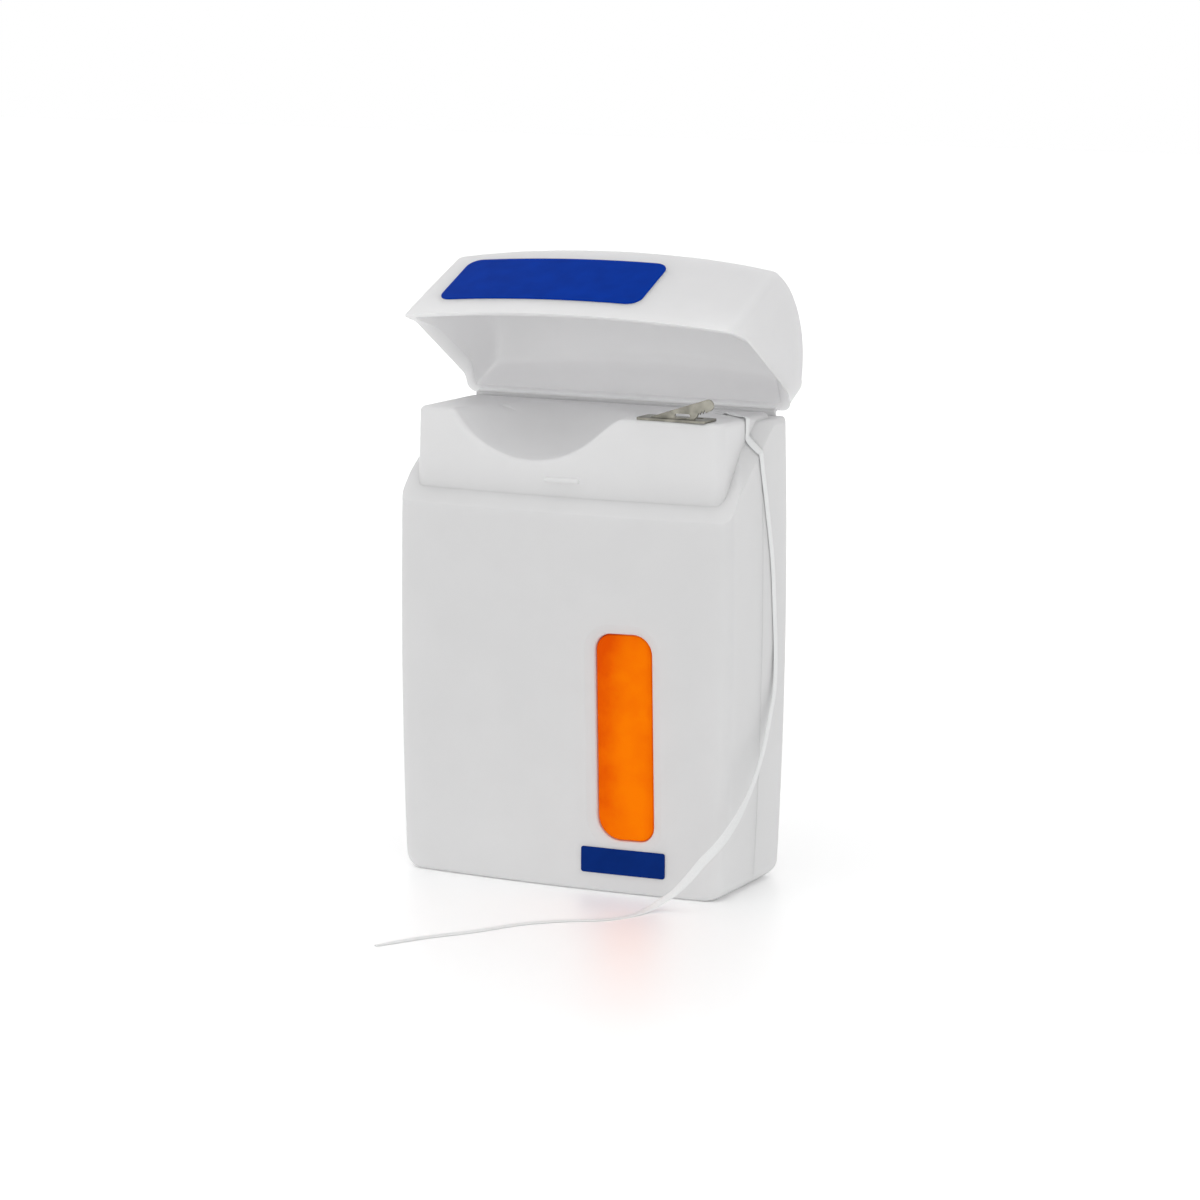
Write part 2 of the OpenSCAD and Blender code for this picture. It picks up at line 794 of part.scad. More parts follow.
// Route of the loose strand: out of the hole, over the side and down onto the floor
tail_route = [
    [15.2, 4, 54], [15.22, 3.98, 54.4], [15.5, 3.7, 54.62], [16.6, 2.7, 54.62], [17.8, 1.6, 54.62],
    [18.8, 0.8, 54.63], [19.2, 0.5, 54.64], [19.46, 0.38, 54.5], [19.5, 0.33, 54.05], [19.52, 0.25, 53],
    [19.53, 0.2, 52.5], [19.83, 0.18, 51.98], [20.33, 0.3, 51.45], [20.83, 0.42, 50.94], [21.08, 0.52, 50.68],
    [21.13, 0.65, 50.1], [21.14, 1, 48.7], [21.19, 1.58, 46.5], [21.24, 2.2, 44], [21.32, 3.65, 38],
    [21.35, 4.35, 32], [21.4, 4.7, 27.5], [21.65, 4, 23], [21.9, 2.1, 19.8], [22.3, -0.2, 17.2],
    [22.8, -3.4, 14.6], [23.1, -6.8, 12.2], [23, -10, 10], [22.2, -12.4, 7.9], [20.7, -13.2, 6.1],
    [19, -13.4, 4], [17.2, -13.4, 2.1], [15.6, -13.9, 0.9], [14.8, -15.4, 0.3], [14, -17.8, 0.1],
    [12, -21, 0.1], [8.2, -23.6, 0.1], [4.8, -27, 0.1], [1.6, -32.6, 0.1], [-2, -37.6, 0.1],
    [-4.8, -43, 0.1]];

// Way that the flat side of the strand faces at each of those points
tail_faces = [
    [1, -1, 0], [1, -1, 0.2], [0.4, -0.4, 1], [0, 0, 1], [0, 0, 1],
    [0.1, 0, 1], [0.4, 0, 1], [1, 0, 0.5], [1, 0, 0.1], [1, 0, 0],
    [1, 0, 0.2], [1, -0.5, 0.8], [1, -0.6, 0.9], [1, -0.5, 0.9], [1, -0.2, 0.6],
    [1, 0, 0.1], [1, 0, 0], [1, 0, 0], [1, 0, 0], [1, 0, 0], [1, 0, 0],
    [1, 0, 0], [1, 0, 0], [1, 0, 0], [1, 0, 0], [1, 0, 0],
    [1, 0, 0], [1, -0.4, 0.2], [1, -0.8, 0.5], [0.9, -0.8, 0.8], [0.7, -0.8, 1],
    [0.5, -0.6, 1], [0.3, -0.4, 1], [0.1, -0.2, 1], [0, 0, 1], [0, 0, 1],
    [0, 0, 1], [0, 0, 1], [0, 0, 1], [0, 0, 1], [0, 0, 1]];

function unit(v) = v / norm(v);

// Smooth point between the route's points k and k + 1, at share t of the way
function smooth(p, k, t) = let(
    n = len(p) - 1,
    a = p[max(k - 1, 0)],
    b = p[k],
    c = p[min(k + 1, n)],
    d = p[min(k + 2, n)])
    0.5 * (2 * b + (c - a) * t + (2 * a - 5 * b + 4 * c - d) * t * t + (3 * b - a - 3 * c + d) * t * t * t);

tail_steps = 2;
tail_path = concat(
    [for (k = [0 : len(tail_route) - 2], j = [0 : tail_steps - 1]) smooth(tail_route, k, j / tail_steps)],
    [tail_route[len(tail_route) - 1]]);
tail_up = concat(
    [for (k = [0 : len(tail_faces) - 2], j = [0 : tail_steps - 1])
        tail_faces[k] + (tail_faces[k + 1] - tail_faces[k]) * j / tail_steps],
    [tail_faces[len(tail_faces) - 1]]);
ribbon_shares = [[0.5, 0.2], [0.3, 0.5], [-0.3, 0.5], [-0.5, 0.2], [-0.5, -0.2], [-0.3, -0.5], [0.3, -0.5], [0.5, -0.2]];

// Ring of the ribbon's section around one point of its path
function ribbon_ring(k) = let(
    n = len(tail_path) - 1,
    along = unit(tail_path[min(k + 1, n)] - tail_path[max(k - 1, 0)]),
    across = unit(cross(along, tail_up[k])),
    face = cross(across, along))
    [for (s = ribbon_shares) tail_path[k] + across * s[0] * floss_w + face * s[1] * floss_t];

module floss_tail() {
    n = len(tail_path);
    m = len(ribbon_shares);
    points = [for (k = [0 : n - 1]) each ribbon_ring(k)];
    walls = [for (k = [0 : n - 2], j = [0 : m - 1]) each [
        [k * m + j, k * m + (j + 1) % m, (k + 1) * m + j],
        [(k + 1) * m + j, k * m + (j + 1) % m, (k + 1) * m + (j + 1) % m]]];
    first = [for (j = [1 : m - 2]) [0, j + 1, j]];
    last = [for (j = [1 : m - 2]) [(n - 1) * m, (n - 1) * m + j, (n - 1) * m + j + 1]];
    color(mint) polyhedron(points = points, faces = concat(walls, first, last));
}

module cap_label() {
    color(blue) opened() intersection() {
        rounded_plate(-cap_label_left, cap_label_z, cap_label_w, cap_label_h, cap_label_r);
        in_front();
        difference() {
            cap_form(-skin_gap - label_t);
            cap_form(-skin_gap);
        }
    }
}

module front_label() {
    color(blue) intersection() {
        rounded_plate(window_x, front_label_z, front_label_w, front_label_h, front_label_h / 8);
        in_front();
        difference() {
            case_form(-skin_gap - label_t);
            case_form(-skin_gap);
        }
    }
}

front_shell();
rear_shell();
dispensing_head();
cap();
living_hinge();
cutter();
window_pane();
spool_core();
floss_winding();
floss_lead();
floss_tail();
cap_label();
front_label();
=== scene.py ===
"""Flip-top dental floss dispenser: the looks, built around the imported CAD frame.

Front is -Y, up is +Z, the origin is the middle of the base and every length is in metres.
"""
import math

import bmesh
import bpy
from bpy.props import FloatProperty, FloatVectorProperty, PointerProperty
from mathutils import Matrix, Vector


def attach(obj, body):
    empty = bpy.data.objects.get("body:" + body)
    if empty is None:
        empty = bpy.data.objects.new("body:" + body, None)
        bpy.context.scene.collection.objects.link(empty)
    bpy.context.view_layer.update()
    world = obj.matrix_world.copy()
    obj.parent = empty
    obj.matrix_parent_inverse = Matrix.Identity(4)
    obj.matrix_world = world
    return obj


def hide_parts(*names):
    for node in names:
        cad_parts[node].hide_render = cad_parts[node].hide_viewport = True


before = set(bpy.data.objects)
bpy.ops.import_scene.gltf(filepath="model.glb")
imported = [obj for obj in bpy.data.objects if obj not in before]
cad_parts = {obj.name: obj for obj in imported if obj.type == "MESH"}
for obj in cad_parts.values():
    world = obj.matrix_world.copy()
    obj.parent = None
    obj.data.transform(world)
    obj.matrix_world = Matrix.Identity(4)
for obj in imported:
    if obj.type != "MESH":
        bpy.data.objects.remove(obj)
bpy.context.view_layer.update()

bl_info = {
    "name": "Flip-top Floss Dispenser",
    "version": (1, 0, 0),
    "blender": (4, 5, 0),
    "location": "View3D > Sidebar > Floss",
    "description": "Models a floss box with a flip-top cap, an amber window, a cutter and a loose strand",
    "category": "Add Mesh",
}

MM = 0.001


# Sizes and colours

def length(name, description, default):
    return FloatProperty(name=name, description=description, default=default, unit="LENGTH",
                         subtype="DISTANCE", precision=5)


def angle(name, description, degrees):
    return FloatProperty(name=name, description=description, default=math.radians(degrees), unit="ROTATION",
                         subtype="ANGLE")


def colour(name, description, default):
    return FloatVectorProperty(name=name, description=description, default=default, size=3, min=0, max=1,
                               subtype="COLOR")


class FLOSS_PG_sizes(bpy.types.PropertyGroup):
    """Lengths and angles of the dispenser."""
    width: length("Width", "Width of the case at its widest", 0.0425)
    depth: length("Depth", "Depth from the crowned front to the flat back", 0.0178)
    shoulder: length("Front rim", "Height of the rim at the front", 0.0435)
    back: length("Back", "Height of the back of the case", 0.054)
    deck: length("Deck", "Height of the deck", 0.0545)
    crown: length("Front crown", "Bulge of the front face between its corners", 0.0012)
    barrel: length("Side barrel", "Bulge of each side between its widest point and the base", 0.0008)
    barrel_z: length("Barrel height", "Height at which the case is widest", 0.032)
    corner: length("Front corner radius", "Radius of the upright front corners", 0.0013)
    back_corner: length("Back corner radius", "Radius of the upright back corners", 0.0012)
    foot: length("Foot radius", "Radius of the lower corners seen from the front", 0.0019)
    seam: length("Seam place", "Distance of the seam between the shells behind the middle", 0.0012)
    climb: angle("Rim climb", "Angle at which the rim climbs along the sides", 35.4)
    climb_start: length("Climb start", "Distance in front of the middle at which the climb leaves the front",
                        0.0094)
    rim_drop: length("Rim drop", "Distance of the rim's top edge below the back", 0.0006)
    bevel: angle("Rim bevel", "Slope of the bevel along the rim", 50)
    neck_side: length("Neck inset at the sides", "Inset of the neck from the sides and the back", 0.0015)
    neck_front: length("Neck inset at the front", "Inset of the neck from the front", 0.00145)
    neck_corner: length("Neck corner radius", "Radius of the neck's upright corners", 0.0012)
    scoop: length("Scoop radius", "Radius of the finger scoop", 0.0123)
    scoop_depth: length("Scoop depth", "Depth of the finger scoop below the deck", 0.0053)
    scoop_left: length("Scoop place", "Distance of the finger scoop to the left", 0.0043)
    cap_top: length("Cap top", "Highest point of the closed cap", 0.066)
    cap_wall: length("Cap wall", "Wall thickness of the cap", 0.0011)
    cap_open: angle("Cap opening", "Angle by which the cap stands open", 66)
    window_x: length("Window place", "Distance of the window to the right of the middle", 0.0084)
    window_low: length("Window foot", "Height of the window's lower edge", 0.0061)
    window_w: length("Window width", "Width of the window", 0.007)
    window_h: length("Window height", "Height of the window", 0.024)
    window_lean: angle("Window lean", "Angle by which the window's upper end leans to the left", 1.2)
    ribbon: length("Strand width", "Width of the flat strand", 0.001)
    ribbon_t: length("Strand thickness", "Thickness of the flat strand", 0.00014)


class FLOSS_PG_colours(bpy.types.PropertyGroup):
    """Colours of the dispenser, as linear values."""
    case: colour("Case", "White of the moulded shells", (0.81, 0.81, 0.812))
    head: colour("Head", "White of the neck and deck", (0.87, 0.87, 0.872))
    cap: colour("Cap", "White of the cap", (0.9, 0.893, 0.91))
    window: colour("Window", "Amber of the window pane", (0.92, 0.17, 0.0))
    label: colour("Cap label", "Blue of the patch on the cap", (0.0, 0.036, 0.35))
    low_label: colour("Front label", "Blue of the patch below the window", (0.004, 0.028, 0.2))
    steel: colour("Steel", "Sheet metal of the cutter", (0.24, 0.232, 0.2))
    floss: colour("Floss", "Waxed strand", (0.93, 0.94, 0.94))


def sizes():
    return bpy.context.scene.floss_sizes


def colours():
    return bpy.context.scene.floss_colours


# The case's form, in millimetres

class Form:
    """The form of the case in millimetres, worked out from the size properties."""

    def __init__(self):
        for key in FLOSS_PG_sizes.__annotations__:
            value = getattr(sizes(), key)
            setattr(self, key, value if key in ("climb", "bevel", "cap_open", "window_lean") else value / MM)
        self.half_w, self.half_d = self.width / 2, self.depth / 2
        self.front_r = (self.half_w ** 2 + self.crown ** 2) / (2 * self.crown)
        self.front_y0 = self.front_r - self.half_d
        self.side_r = (self.barrel_z ** 2 + self.barrel ** 2) / (2 * self.barrel)
        self.side_x0 = self.side_r - self.half_w
        self.hinge = (self.half_d - 0.4, self.back + 0.5)

    def half_width(self, z):
        return math.sqrt(self.side_r ** 2 - (z - self.barrel_z) ** 2) - self.side_x0

    def front_at(self, x, i=0.0):
        return self.front_y0 - math.sqrt((self.front_r - i) ** 2 - x * x)

    def rim_line(self, y, lift, top, r=2.5):
        """Height of the rim's outer edge on the sides: level, climbing, level, with rounded changes."""
        z1, y1, slope = self.shoulder + lift, -self.climb_start, math.tan(self.climb)
        y2 = y1 + (top - z1) / slope
        t, c = r * math.tan(self.climb / 2), math.cos(self.climb)
        if y < y1 - t:
            return z1
        if y < y1 + t * c:
            return z1 + r - math.sqrt(r * r - (y - y1 + t) ** 2)
        if y < y2 - t * c:
            return z1 + (y - y1) * slope
        if y < y2 + t:
            return top - r + math.sqrt(r * r - (y2 + t - y) ** 2)
        return top

    def rim(self, x, y, lift, top, soft=0.3):
        """Height of the bevelled rim over x, y: the lower of the sides' climb and the level front."""
        k = math.tan(self.bevel)
        side = self.rim_line(y, lift, top) + k * (self.half_width(48) - abs(x))
        front = self.shoulder + lift + k * (self.front_r - math.hypot(x, y - self.front_y0))
        h = max(soft - abs(side - front), 0) / soft
        return min(side, front) - h * h * soft / 4


class Outline:
    """Closed outline of the case from above, as stations that keep their meaning at any inset."""

    def __init__(self, form, front=14, corner=7, side=None, back_corner=6, back=8, radii=None):
        self.form = form
        self.radii = radii or (form.corner, form.back_corner)
        half = [("front", k / front) for k in range(front)]
        half += [("corner", k / corner) for k in range(corner)]
        half += [("side", t) for t in side or [k / 24 for k in range(24)]]
        half += [("back_corner", k / back_corner) for k in range(back_corner)]
        half += [("back", k / back) for k in range(back)]
        self.stations = [(kind, t, 1) for kind, t in half]
        self.stations.append(("back", 1.0, 1))
        self.stations += [(kind, t, -1) for kind, t in reversed(half[1:])]

    def __len__(self):
        return len(self.stations)

    def spot(self, k, ix, iy, z):
        """Place of station k, ix inside the sides and the back and iy inside the front."""
        kind, t, s = self.stations[k]
        f = self.form
        rf = max(self.radii[0] - min(ix, iy), 0.3)
        rb = max(self.radii[1] - min(ix, iy), 0.3)
        x_side = f.half_width(z) - ix
        xc = x_side - rf
        yc = f.front_at(xc, iy + rf)
        yb = f.half_d - ix - rb
        if kind == "front":
            lean = math.asin(xc / (f.front_r - iy - rf))
            a = lean * t
            return s * (f.front_r - iy) * math.sin(a), f.front_y0 - (f.front_r - iy) * math.cos(a)
        if kind == "corner":
            a0 = math.atan2(yc - f.front_y0, xc)
            a = a0 * (1 - t)
            return s * (xc + rf * math.cos(a)), yc + rf * math.sin(a)
        if kind == "side":
            return s * x_side, yc + (yb - yc) * t
        if kind == "back_corner":
            a = t * math.pi / 2
            return s * (x_side - rb + rb * math.cos(a)), yb + rb * math.sin(a)
        return s * (x_side - rb) * (1 - t), f.half_d - ix


# Modelling helpers

def deselect():
    if bpy.context.object and bpy.context.object.mode != "OBJECT":
        bpy.ops.object.mode_set(mode="OBJECT")
    bpy.ops.object.select_all(action="DESELECT")


def only(obj):
    deselect()
    obj.select_set(True)
    bpy.context.view_layer.objects.active = obj


def loft(name, rings):
    """Draws a filled circle, sets it on the first ring and extrudes it through all the others."""
    deselect()
    bpy.ops.mesh.primitive_circle_add(vertices=len(rings[0]), radius=rings[0][0][0] * MM or MM,
                                      fill_type="NGON")
    obj = bpy.context.object
    obj.name = obj.data.name = name
    bpy.ops.object.mode_set(mode="EDIT")
    bm = bmesh.from_edit_mesh(obj.data)
    face = next(iter(bm.faces))
    order = {v: k for k, v in enumerate(face.verts)}
    for v, k in order.items():
        v.co = Vector(rings[0][k]) * MM
    for ring in rings[1:]:
        bpy.ops.mesh.extrude_region_move()
        bm = bmesh.from_edit_mesh(obj.data)
        face = next(f for f in bm.faces if f.select)
        new = {}
        for v in face.verts:
            for e in v.link_edges:
                w = e.other_vert(v)
                if w in order:
                    new[v] = order[w]
        for v, k in new.items():
            v.co = Vector(ring[k]) * MM
        order = new
    bpy.ops.mesh.select_all(action="DESELECT")
    for face in bm.faces:
        if len(face.verts) > 4:
            face.select_set(True)
    bm.normal_update()
    bmesh.update_edit_mesh(obj.data)
    bpy.ops.mesh.quads_convert_to_tris(ngon_method="BEAUTY")
    bpy.ops.mesh.select_all(action="SELECT")
    bpy.ops.mesh.normals_make_consistent(inside=False)
    bpy.ops.object.mode_set(mode="OBJECT")
    return obj


def smooth(obj, angle=35):
    only(obj)
    bpy.ops.object.shade_smooth_by_angle(angle=math.radians(angle))
    return obj


def modify(obj, kind, **settings):
    only(obj)
    m = obj.modifiers.new(kind.title(), kind)
    for key, value in settings.items():
        setattr(m, key, value)
    bpy.ops.object.modifier_apply(modifier=m.name)
    return obj


def cut(obj, tool, operation="DIFFERENCE"):
    modify(obj, "BOOLEAN", operation=operation, solver="EXACT", object=tool)
    bpy.data.objects.remove(tool)
    return obj


def open_up(obj, form):
    """Turns a finished piece of the closed cap about the hinge line into its resting pose."""
    at = Matrix.Translation((0, form.hinge[0] * MM, form.hinge[1] * MM))
    obj.data.transform(at @ Matrix.Rotation(-form.cap_open, 4, "X") @ at.inverted())
    return obj


def rounded_rect(w, h, radii, corner=8, long=1, high=1):
    """Outline of a rectangle around 0, 0, with one radius or four, anticlockwise from the lower right."""
    radii = radii if isinstance(radii, tuple) else (radii,) * 4
    signs = ((1, -1), (1, 1), (-1, 1), (-1, -1))
    arcs = []
    for (sx, sy), r, a0 in zip(signs, radii, (-90, 0, 90, 180)):
        arcs.append([(sx * (w / 2 - r) + r * math.cos(math.radians(a0 + 90 * k / corner)),
                      sy * (h / 2 - r) + r * math.sin(math.radians(a0 + 90 * k / corner)))
                     for k in range(corner + 1)])
    pts = []
    for side, arc in enumerate(arcs):
        pts += arc
        n = high if side % 2 == 0 else long
        a, b = arc[-1], arcs[(side + 1) % 4][0]
        pts += [(a[0] + (b[0] - a[0]) * k / n, a[1] + (b[1] - a[1]) * k / n) for k in range(1, n)]
    return pts


def finish_piece(obj, body, slot, material, *nodes, angle=35):
    smooth(obj, angle)
    obj.data.materials.clear()
    obj.data.materials.append(material)
    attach(obj, body)
    if nodes:
        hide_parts(*nodes)
    return obj


# Materials

def material(name):
    m = bpy.data.materials.new(name)
    m.use_nodes = True
    return m, m.node_tree.nodes, m.node_tree.links, m.node_tree.nodes["Principled BSDF"]


def add(nodes, kind, **values):
    """New node; a value goes to the input of that name, or else to the node's own property."""
    n = nodes.new(kind)
    for key, value in values.items():
        if key in n.inputs:
            n.inputs[key].default_value = value
        else:
            setattr(n, key.lower(), value)
    return n


def noise(nodes, links, source, scale, detail=2.0, rough=0.5):
    """Noise texture on the source's coordinates."""
    n = add(nodes, "ShaderNodeTexNoise", Scale=scale, Detail=detail, Roughness=rough)
    links.new(source, n.inputs["Vector"])
    return n.outputs["Fac"]


def feed(links, socket, value):
    """Sets a number on the socket, or links another node's output to it."""
    if isinstance(value, (int, float)):
        socket.default_value = value
    else:
        links.new(value, socket)


def remap(nodes, links, value, old, new=(0.0, 1.0), **values):
    """Value carried from the old range to the new one."""
    n = add(nodes, "ShaderNodeMapRange", **values)
    for key, limit in zip(("From Min", "From Max", "To Min", "To Max"), (*old, *new)):
        feed(links, n.inputs[key], limit)
    links.new(value, n.inputs["Value"])
    return n.outputs["Result"]


def math_node(nodes, links, operation, *values):
    """Math node over numbers and the outputs of other nodes."""
    n = add(nodes, "ShaderNodeMath", Operation=operation)
    for k, value in enumerate(values):
        feed(links, n.inputs[k], value)
    return n.outputs[0]


def shades(nodes, links, value, low, high, at=(0.0, 1.0)):
    """Colour that runs from low to high between the two places of value."""
    ramp = nodes.new("ShaderNodeValToRGB")
    for element, place, shade in zip(ramp.color_ramp.elements, at, (low, high)):
        element.position = place
        element.color = (*shade, 1)
    links.new(value, ramp.inputs["Fac"])
    return ramp.outputs["Color"]


def scaled(colour, k):
    return tuple(min(c * k, 1.0) for c in colour)


def bumped(nodes, links, height, bsdf, strength, distance):
    bump = add(nodes, "ShaderNodeBump", Strength=strength, Distance=distance)
    links.new(height, bump.inputs["Height"])
    links.new(bump.outputs["Normal"], bsdf.inputs["Normal"])


def moulded(name, colour, rough=0.42, translucent=0.35, reach=0.003):
    """Satin injection-moulded plastic: fine spark-eroded grain, faint flow mottle and wear in the gloss."""
    m, nodes, links, bsdf = material(name)
    place = nodes.new("ShaderNodeTexCoord").outputs["Object"]
    grain = noise(nodes, links, place, 9000, rough=0.6)
    flow = noise(nodes, links, place, 160, detail=3.0)
    tint = add(nodes, "ShaderNodeVectorMath", Operation="SCALE")
    tint.inputs[0].default_value = colour
    links.new(remap(nodes, links, flow, (0.3, 0.7), (0.988, 1.012)), tint.inputs["Scale"])
    links.new(tint.outputs["Vector"], bsdf.inputs["Base Color"])
    links.new(remap(nodes, links, flow, (0.3, 0.7), (rough - 0.05, rough + 0.05)), bsdf.inputs["Roughness"])
    bumped(nodes, links, grain, bsdf, 0.03, 0.0001)
    bsdf.inputs["IOR"].default_value = 1.49
    bsdf.inputs["Specular IOR Level"].default_value = 0.4
    bsdf.inputs["Subsurface Weight"].default_value = translucent
    bsdf.inputs["Subsurface Radius"].default_value = (1, 1, 1)
    bsdf.inputs["Subsurface Scale"].default_value = reach
    return m


def amber_plastic(name, colour):
    """Amber pane with a cloudy tone before the strand, and painted light: brighter and glowing as if lit
    through from the right, with painted shade towards the left edge and the top and a painted shadow along
    the right edge.
    """
    m, nodes, links, bsdf = material(name)
    place = nodes.new("ShaderNodeTexCoord").outputs["Object"]
    cloud = noise(nodes, links, place, 260, detail=4.0, rough=0.6)
    split = nodes.new("ShaderNodeSeparateXYZ")
    links.new(place, split.inputs[0])
    x, z = split.outputs["X"], split.outputs["Z"]
    # painted light: the amber brightens from the left edge towards the right, as if lit through from the
    # right
    left = remap(nodes, links, x, (0.0048, 0.0092), Interpolation_Type="SMOOTHSTEP")
    # painted shadow of the opening's wall along the right edge
    right = remap(nodes, links, x, (0.0107, 0.0119), (1.0, 0.45))
    # painted shade towards the top
    top = remap(nodes, links, z, (0.031, 0.021), (-0.22, 0.0))
    # the cloudy tone plus the painted light and shade of the ramps above
    cloud_and_painted_light = math_node(nodes, links, "MULTIPLY_ADD", cloud, 0.9, top)
    cloud_and_painted_light = math_node(nodes, links, "MULTIPLY_ADD",
                     math_node(nodes, links, "MULTIPLY", left, right), 0.5, cloud_and_painted_light)
    # lit and shaded copies of the amber: painted shade at the low end, painted light at the high end
    deep = (colour[0] * 0.84, colour[1] * 0.5, colour[2])
    bright = (colour[0] * 1.08, colour[1] * 1.2, colour[2])
    amber = shades(nodes, links, cloud_and_painted_light, deep, bright, at=(0.3, 0.98))
    links.new(amber, bsdf.inputs["Base Color"])
    # painted glow: the amber shines a little by itself, as if lit through, though the pane is no lamp
    links.new(amber, bsdf.inputs["Emission Color"])
    bsdf.inputs["Emission Strength"].default_value = 0.16
    bsdf.inputs["Roughness"].default_value = 0.3
    bsdf.inputs["Specular IOR Level"].default_value = 0.02
    bsdf.inputs["IOR"].default_value = 1.5
    return m


def printed(name, colour):
    """Printed film: deep ink under a thin gloss, with a slight orange peel."""
    m, nodes, links, bsdf = material(name)
    place = nodes.new("ShaderNodeTexCoord").outputs["Object"]
    peel = noise(nodes, links, place, 2200)
    ink = noise(nodes, links, place, 400)
    links.new(shades(nodes, links, ink, scaled(colour, 0.92), scaled(colour, 1.08), at=(0.3, 0.7)),
              bsdf.inputs["Base Color"])
    bumped(nodes, links, peel, bsdf, 0.02, 0.0001)
    bsdf.inputs["Roughness"].default_value = 0.38
    bsdf.inputs["IOR"].default_value = 1.06
    return m


def sheet_steel(name, colour):
    """Rolled sheet metal: long fine scratches, dull patches and bright ones."""
    m, nodes, links, bsdf = material(name)
    place = nodes.new("ShaderNodeTexCoord").outputs["Object"]
    stretch = nodes.new("ShaderNodeMapping")
    stretch.inputs["Scale"].default_value = (900, 9000, 9000)
    links.new(place, stretch.inputs["Vector"])
    lines = noise(nodes, links, stretch.outputs["Vector"], 1.0, detail=3.0, rough=0.6)
    patches = noise(nodes, links, place, 700)
    links.new(shades(nodes, links, patches, scaled(colour, 0.72), scaled(colour, 1.25), at=(0.35, 0.65)),
              bsdf.inputs["Base Color"])
    links.new(remap(nodes, links, lines, (0.0, 1.0), (0.28, 0.5)), bsdf.inputs["Roughness"])
    bumped(nodes, links, lines, bsdf, 0.15, 0.00003)
    bsdf.inputs["Metallic"].default_value = 1.0
    return m


def waxed_strand(name, colour):
    """Flat bundle of waxed filaments that run along the strand."""
    m, nodes, links, bsdf = material(name)
    place = nodes.new("ShaderNodeTexCoord").outputs["Object"]
    fibre = noise(nodes, links, place, 5000, rough=0.6)
    links.new(shades(nodes, links, fibre, scaled(colour, 0.93), scaled(colour, 1.04)),
              bsdf.inputs["Base Color"])
    bumped(nodes, links, fibre, bsdf, 0.3, 0.00005)
    bsdf.inputs["Roughness"].default_value = 0.38
    return m


made = {}


def stock(key):
    """The material of that name, made once."""
    if key not in made:
        c = colours()
        made[key] = {
            "case": lambda: moulded("satin_white_case", c.case),
            "head": lambda: moulded("satin_white_head", c.head, rough=0.4),
            "cap": lambda: moulded("satin_white_cap", c.cap, translucent=1.0, reach=0.006),
            "spool": lambda: moulded("natural_spool", (0.7, 0.7, 0.68), rough=0.5),
            "window": lambda: amber_plastic("amber_pane", c.window),
            "label": lambda: printed("blue_print", c.label),
            "low_label": lambda: printed("navy_print", c.low_label),
            "steel": lambda: sheet_steel("cutter_steel", c.steel),
            "floss": lambda: waxed_strand("waxed_floss", c.floss),
        }[key]()
    return made[key]


# Camera and strand

# the strand's route, repeated from the CAD in millimetres, and the way its flat side faces at each point
STRAND = [
    (15.2, 4, 54), (15.22, 3.98, 54.4), (15.5, 3.7, 54.62), (16.6, 2.7, 54.62), (17.8, 1.6, 54.62),
    (18.8, 0.8, 54.63), (19.2, 0.5, 54.64), (19.46, 0.38, 54.5), (19.5, 0.33, 54.05), (19.52, 0.25, 53),
    (19.53, 0.2, 52.5), (19.83, 0.18, 51.98), (20.33, 0.3, 51.45), (20.83, 0.42, 50.94), (21.08, 0.52, 50.68),
    (21.13, 0.65, 50.1), (21.14, 1, 48.7), (21.19, 1.58, 46.5), (21.24, 2.2, 44), (21.32, 3.65, 38),
    (21.35, 4.35, 32), (21.4, 4.7, 27.5), (21.65, 4, 23), (21.9, 2.1, 19.8), (22.3, -0.2, 17.2),
    (22.8, -3.4, 14.6), (23.1, -6.8, 12.2), (23, -10, 10), (22.2, -12.4, 7.9), (20.7, -13.2, 6.1),
    (19, -13.4, 4), (17.2, -13.4, 2.1), (15.6, -13.9, 0.9), (14.8, -15.4, 0.3), (14, -17.8, 0.1),
    (12, -21, 0.1), (8.2, -23.6, 0.1), (4.8, -27, 0.1), (1.6, -32.6, 0.1), (-2, -37.6, 0.1),
    (-4.8, -43, 0.1)]
STRAND_FACES = [
    (1, -1, 0), (1, -1, 0.2), (0.4, -0.4, 1), (0, 0, 1), (0, 0, 1),
    (0.1, 0, 1), (0.4, 0, 1), (1, 0, 0.5), (1, 0, 0.1), (1, 0, 0),
    (1, 0, 0.2), (1, -0.5, 0.8), (1, -0.6, 0.9), (1, -0.5, 0.9), (1, -0.2, 0.6),
    (1, 0, 0.1), (1, 0, 0), (1, 0, 0), (1, 0, 0), (1, 0, 0), (1, 0, 0),
    (1, 0, 0), (1, 0, 0), (1, 0, 0), (1, 0, 0), (1, 0, 0),
    (1, 0, 0), (1, -0.4, 0.2), (1, -0.8, 0.5), (0.9, -0.8, 0.8), (0.7, -0.8, 1),
    (0.5, -0.6, 1), (0.3, -0.4, 1), (0.1, -0.2, 1), (0, 0, 1), (0, 0, 1),
    (0, 0, 1), (0, 0, 1), (0, 0, 1), (0, 0, 1), (0, 0, 1)]


def through(points, k, t):
    """Smooth point between points k and k + 1, at share t of the way."""
    n = len(points) - 1
    a, b, c, d = (Vector(points[j]) for j in (max(k - 1, 0), k, min(k + 1, n), min(k + 2, n)))
    return 0.5 * (2 * b + (c - a) * t + (2 * a - 5 * b + 4 * c - d) * t * t
                  + (3 * b - a - 3 * c + d) * t ** 3)


# the camera: focal length in pixels of a frame 1200 pixels wide, yaw, pitch and roll in degrees,
# place in millimetres
FOCAL, FRAME = 4100, 1200
CAMERA_TURN = (25.914, 9.389, 0.355)
CAMERA_PLACE = (206.23, -422.01, 109.91)


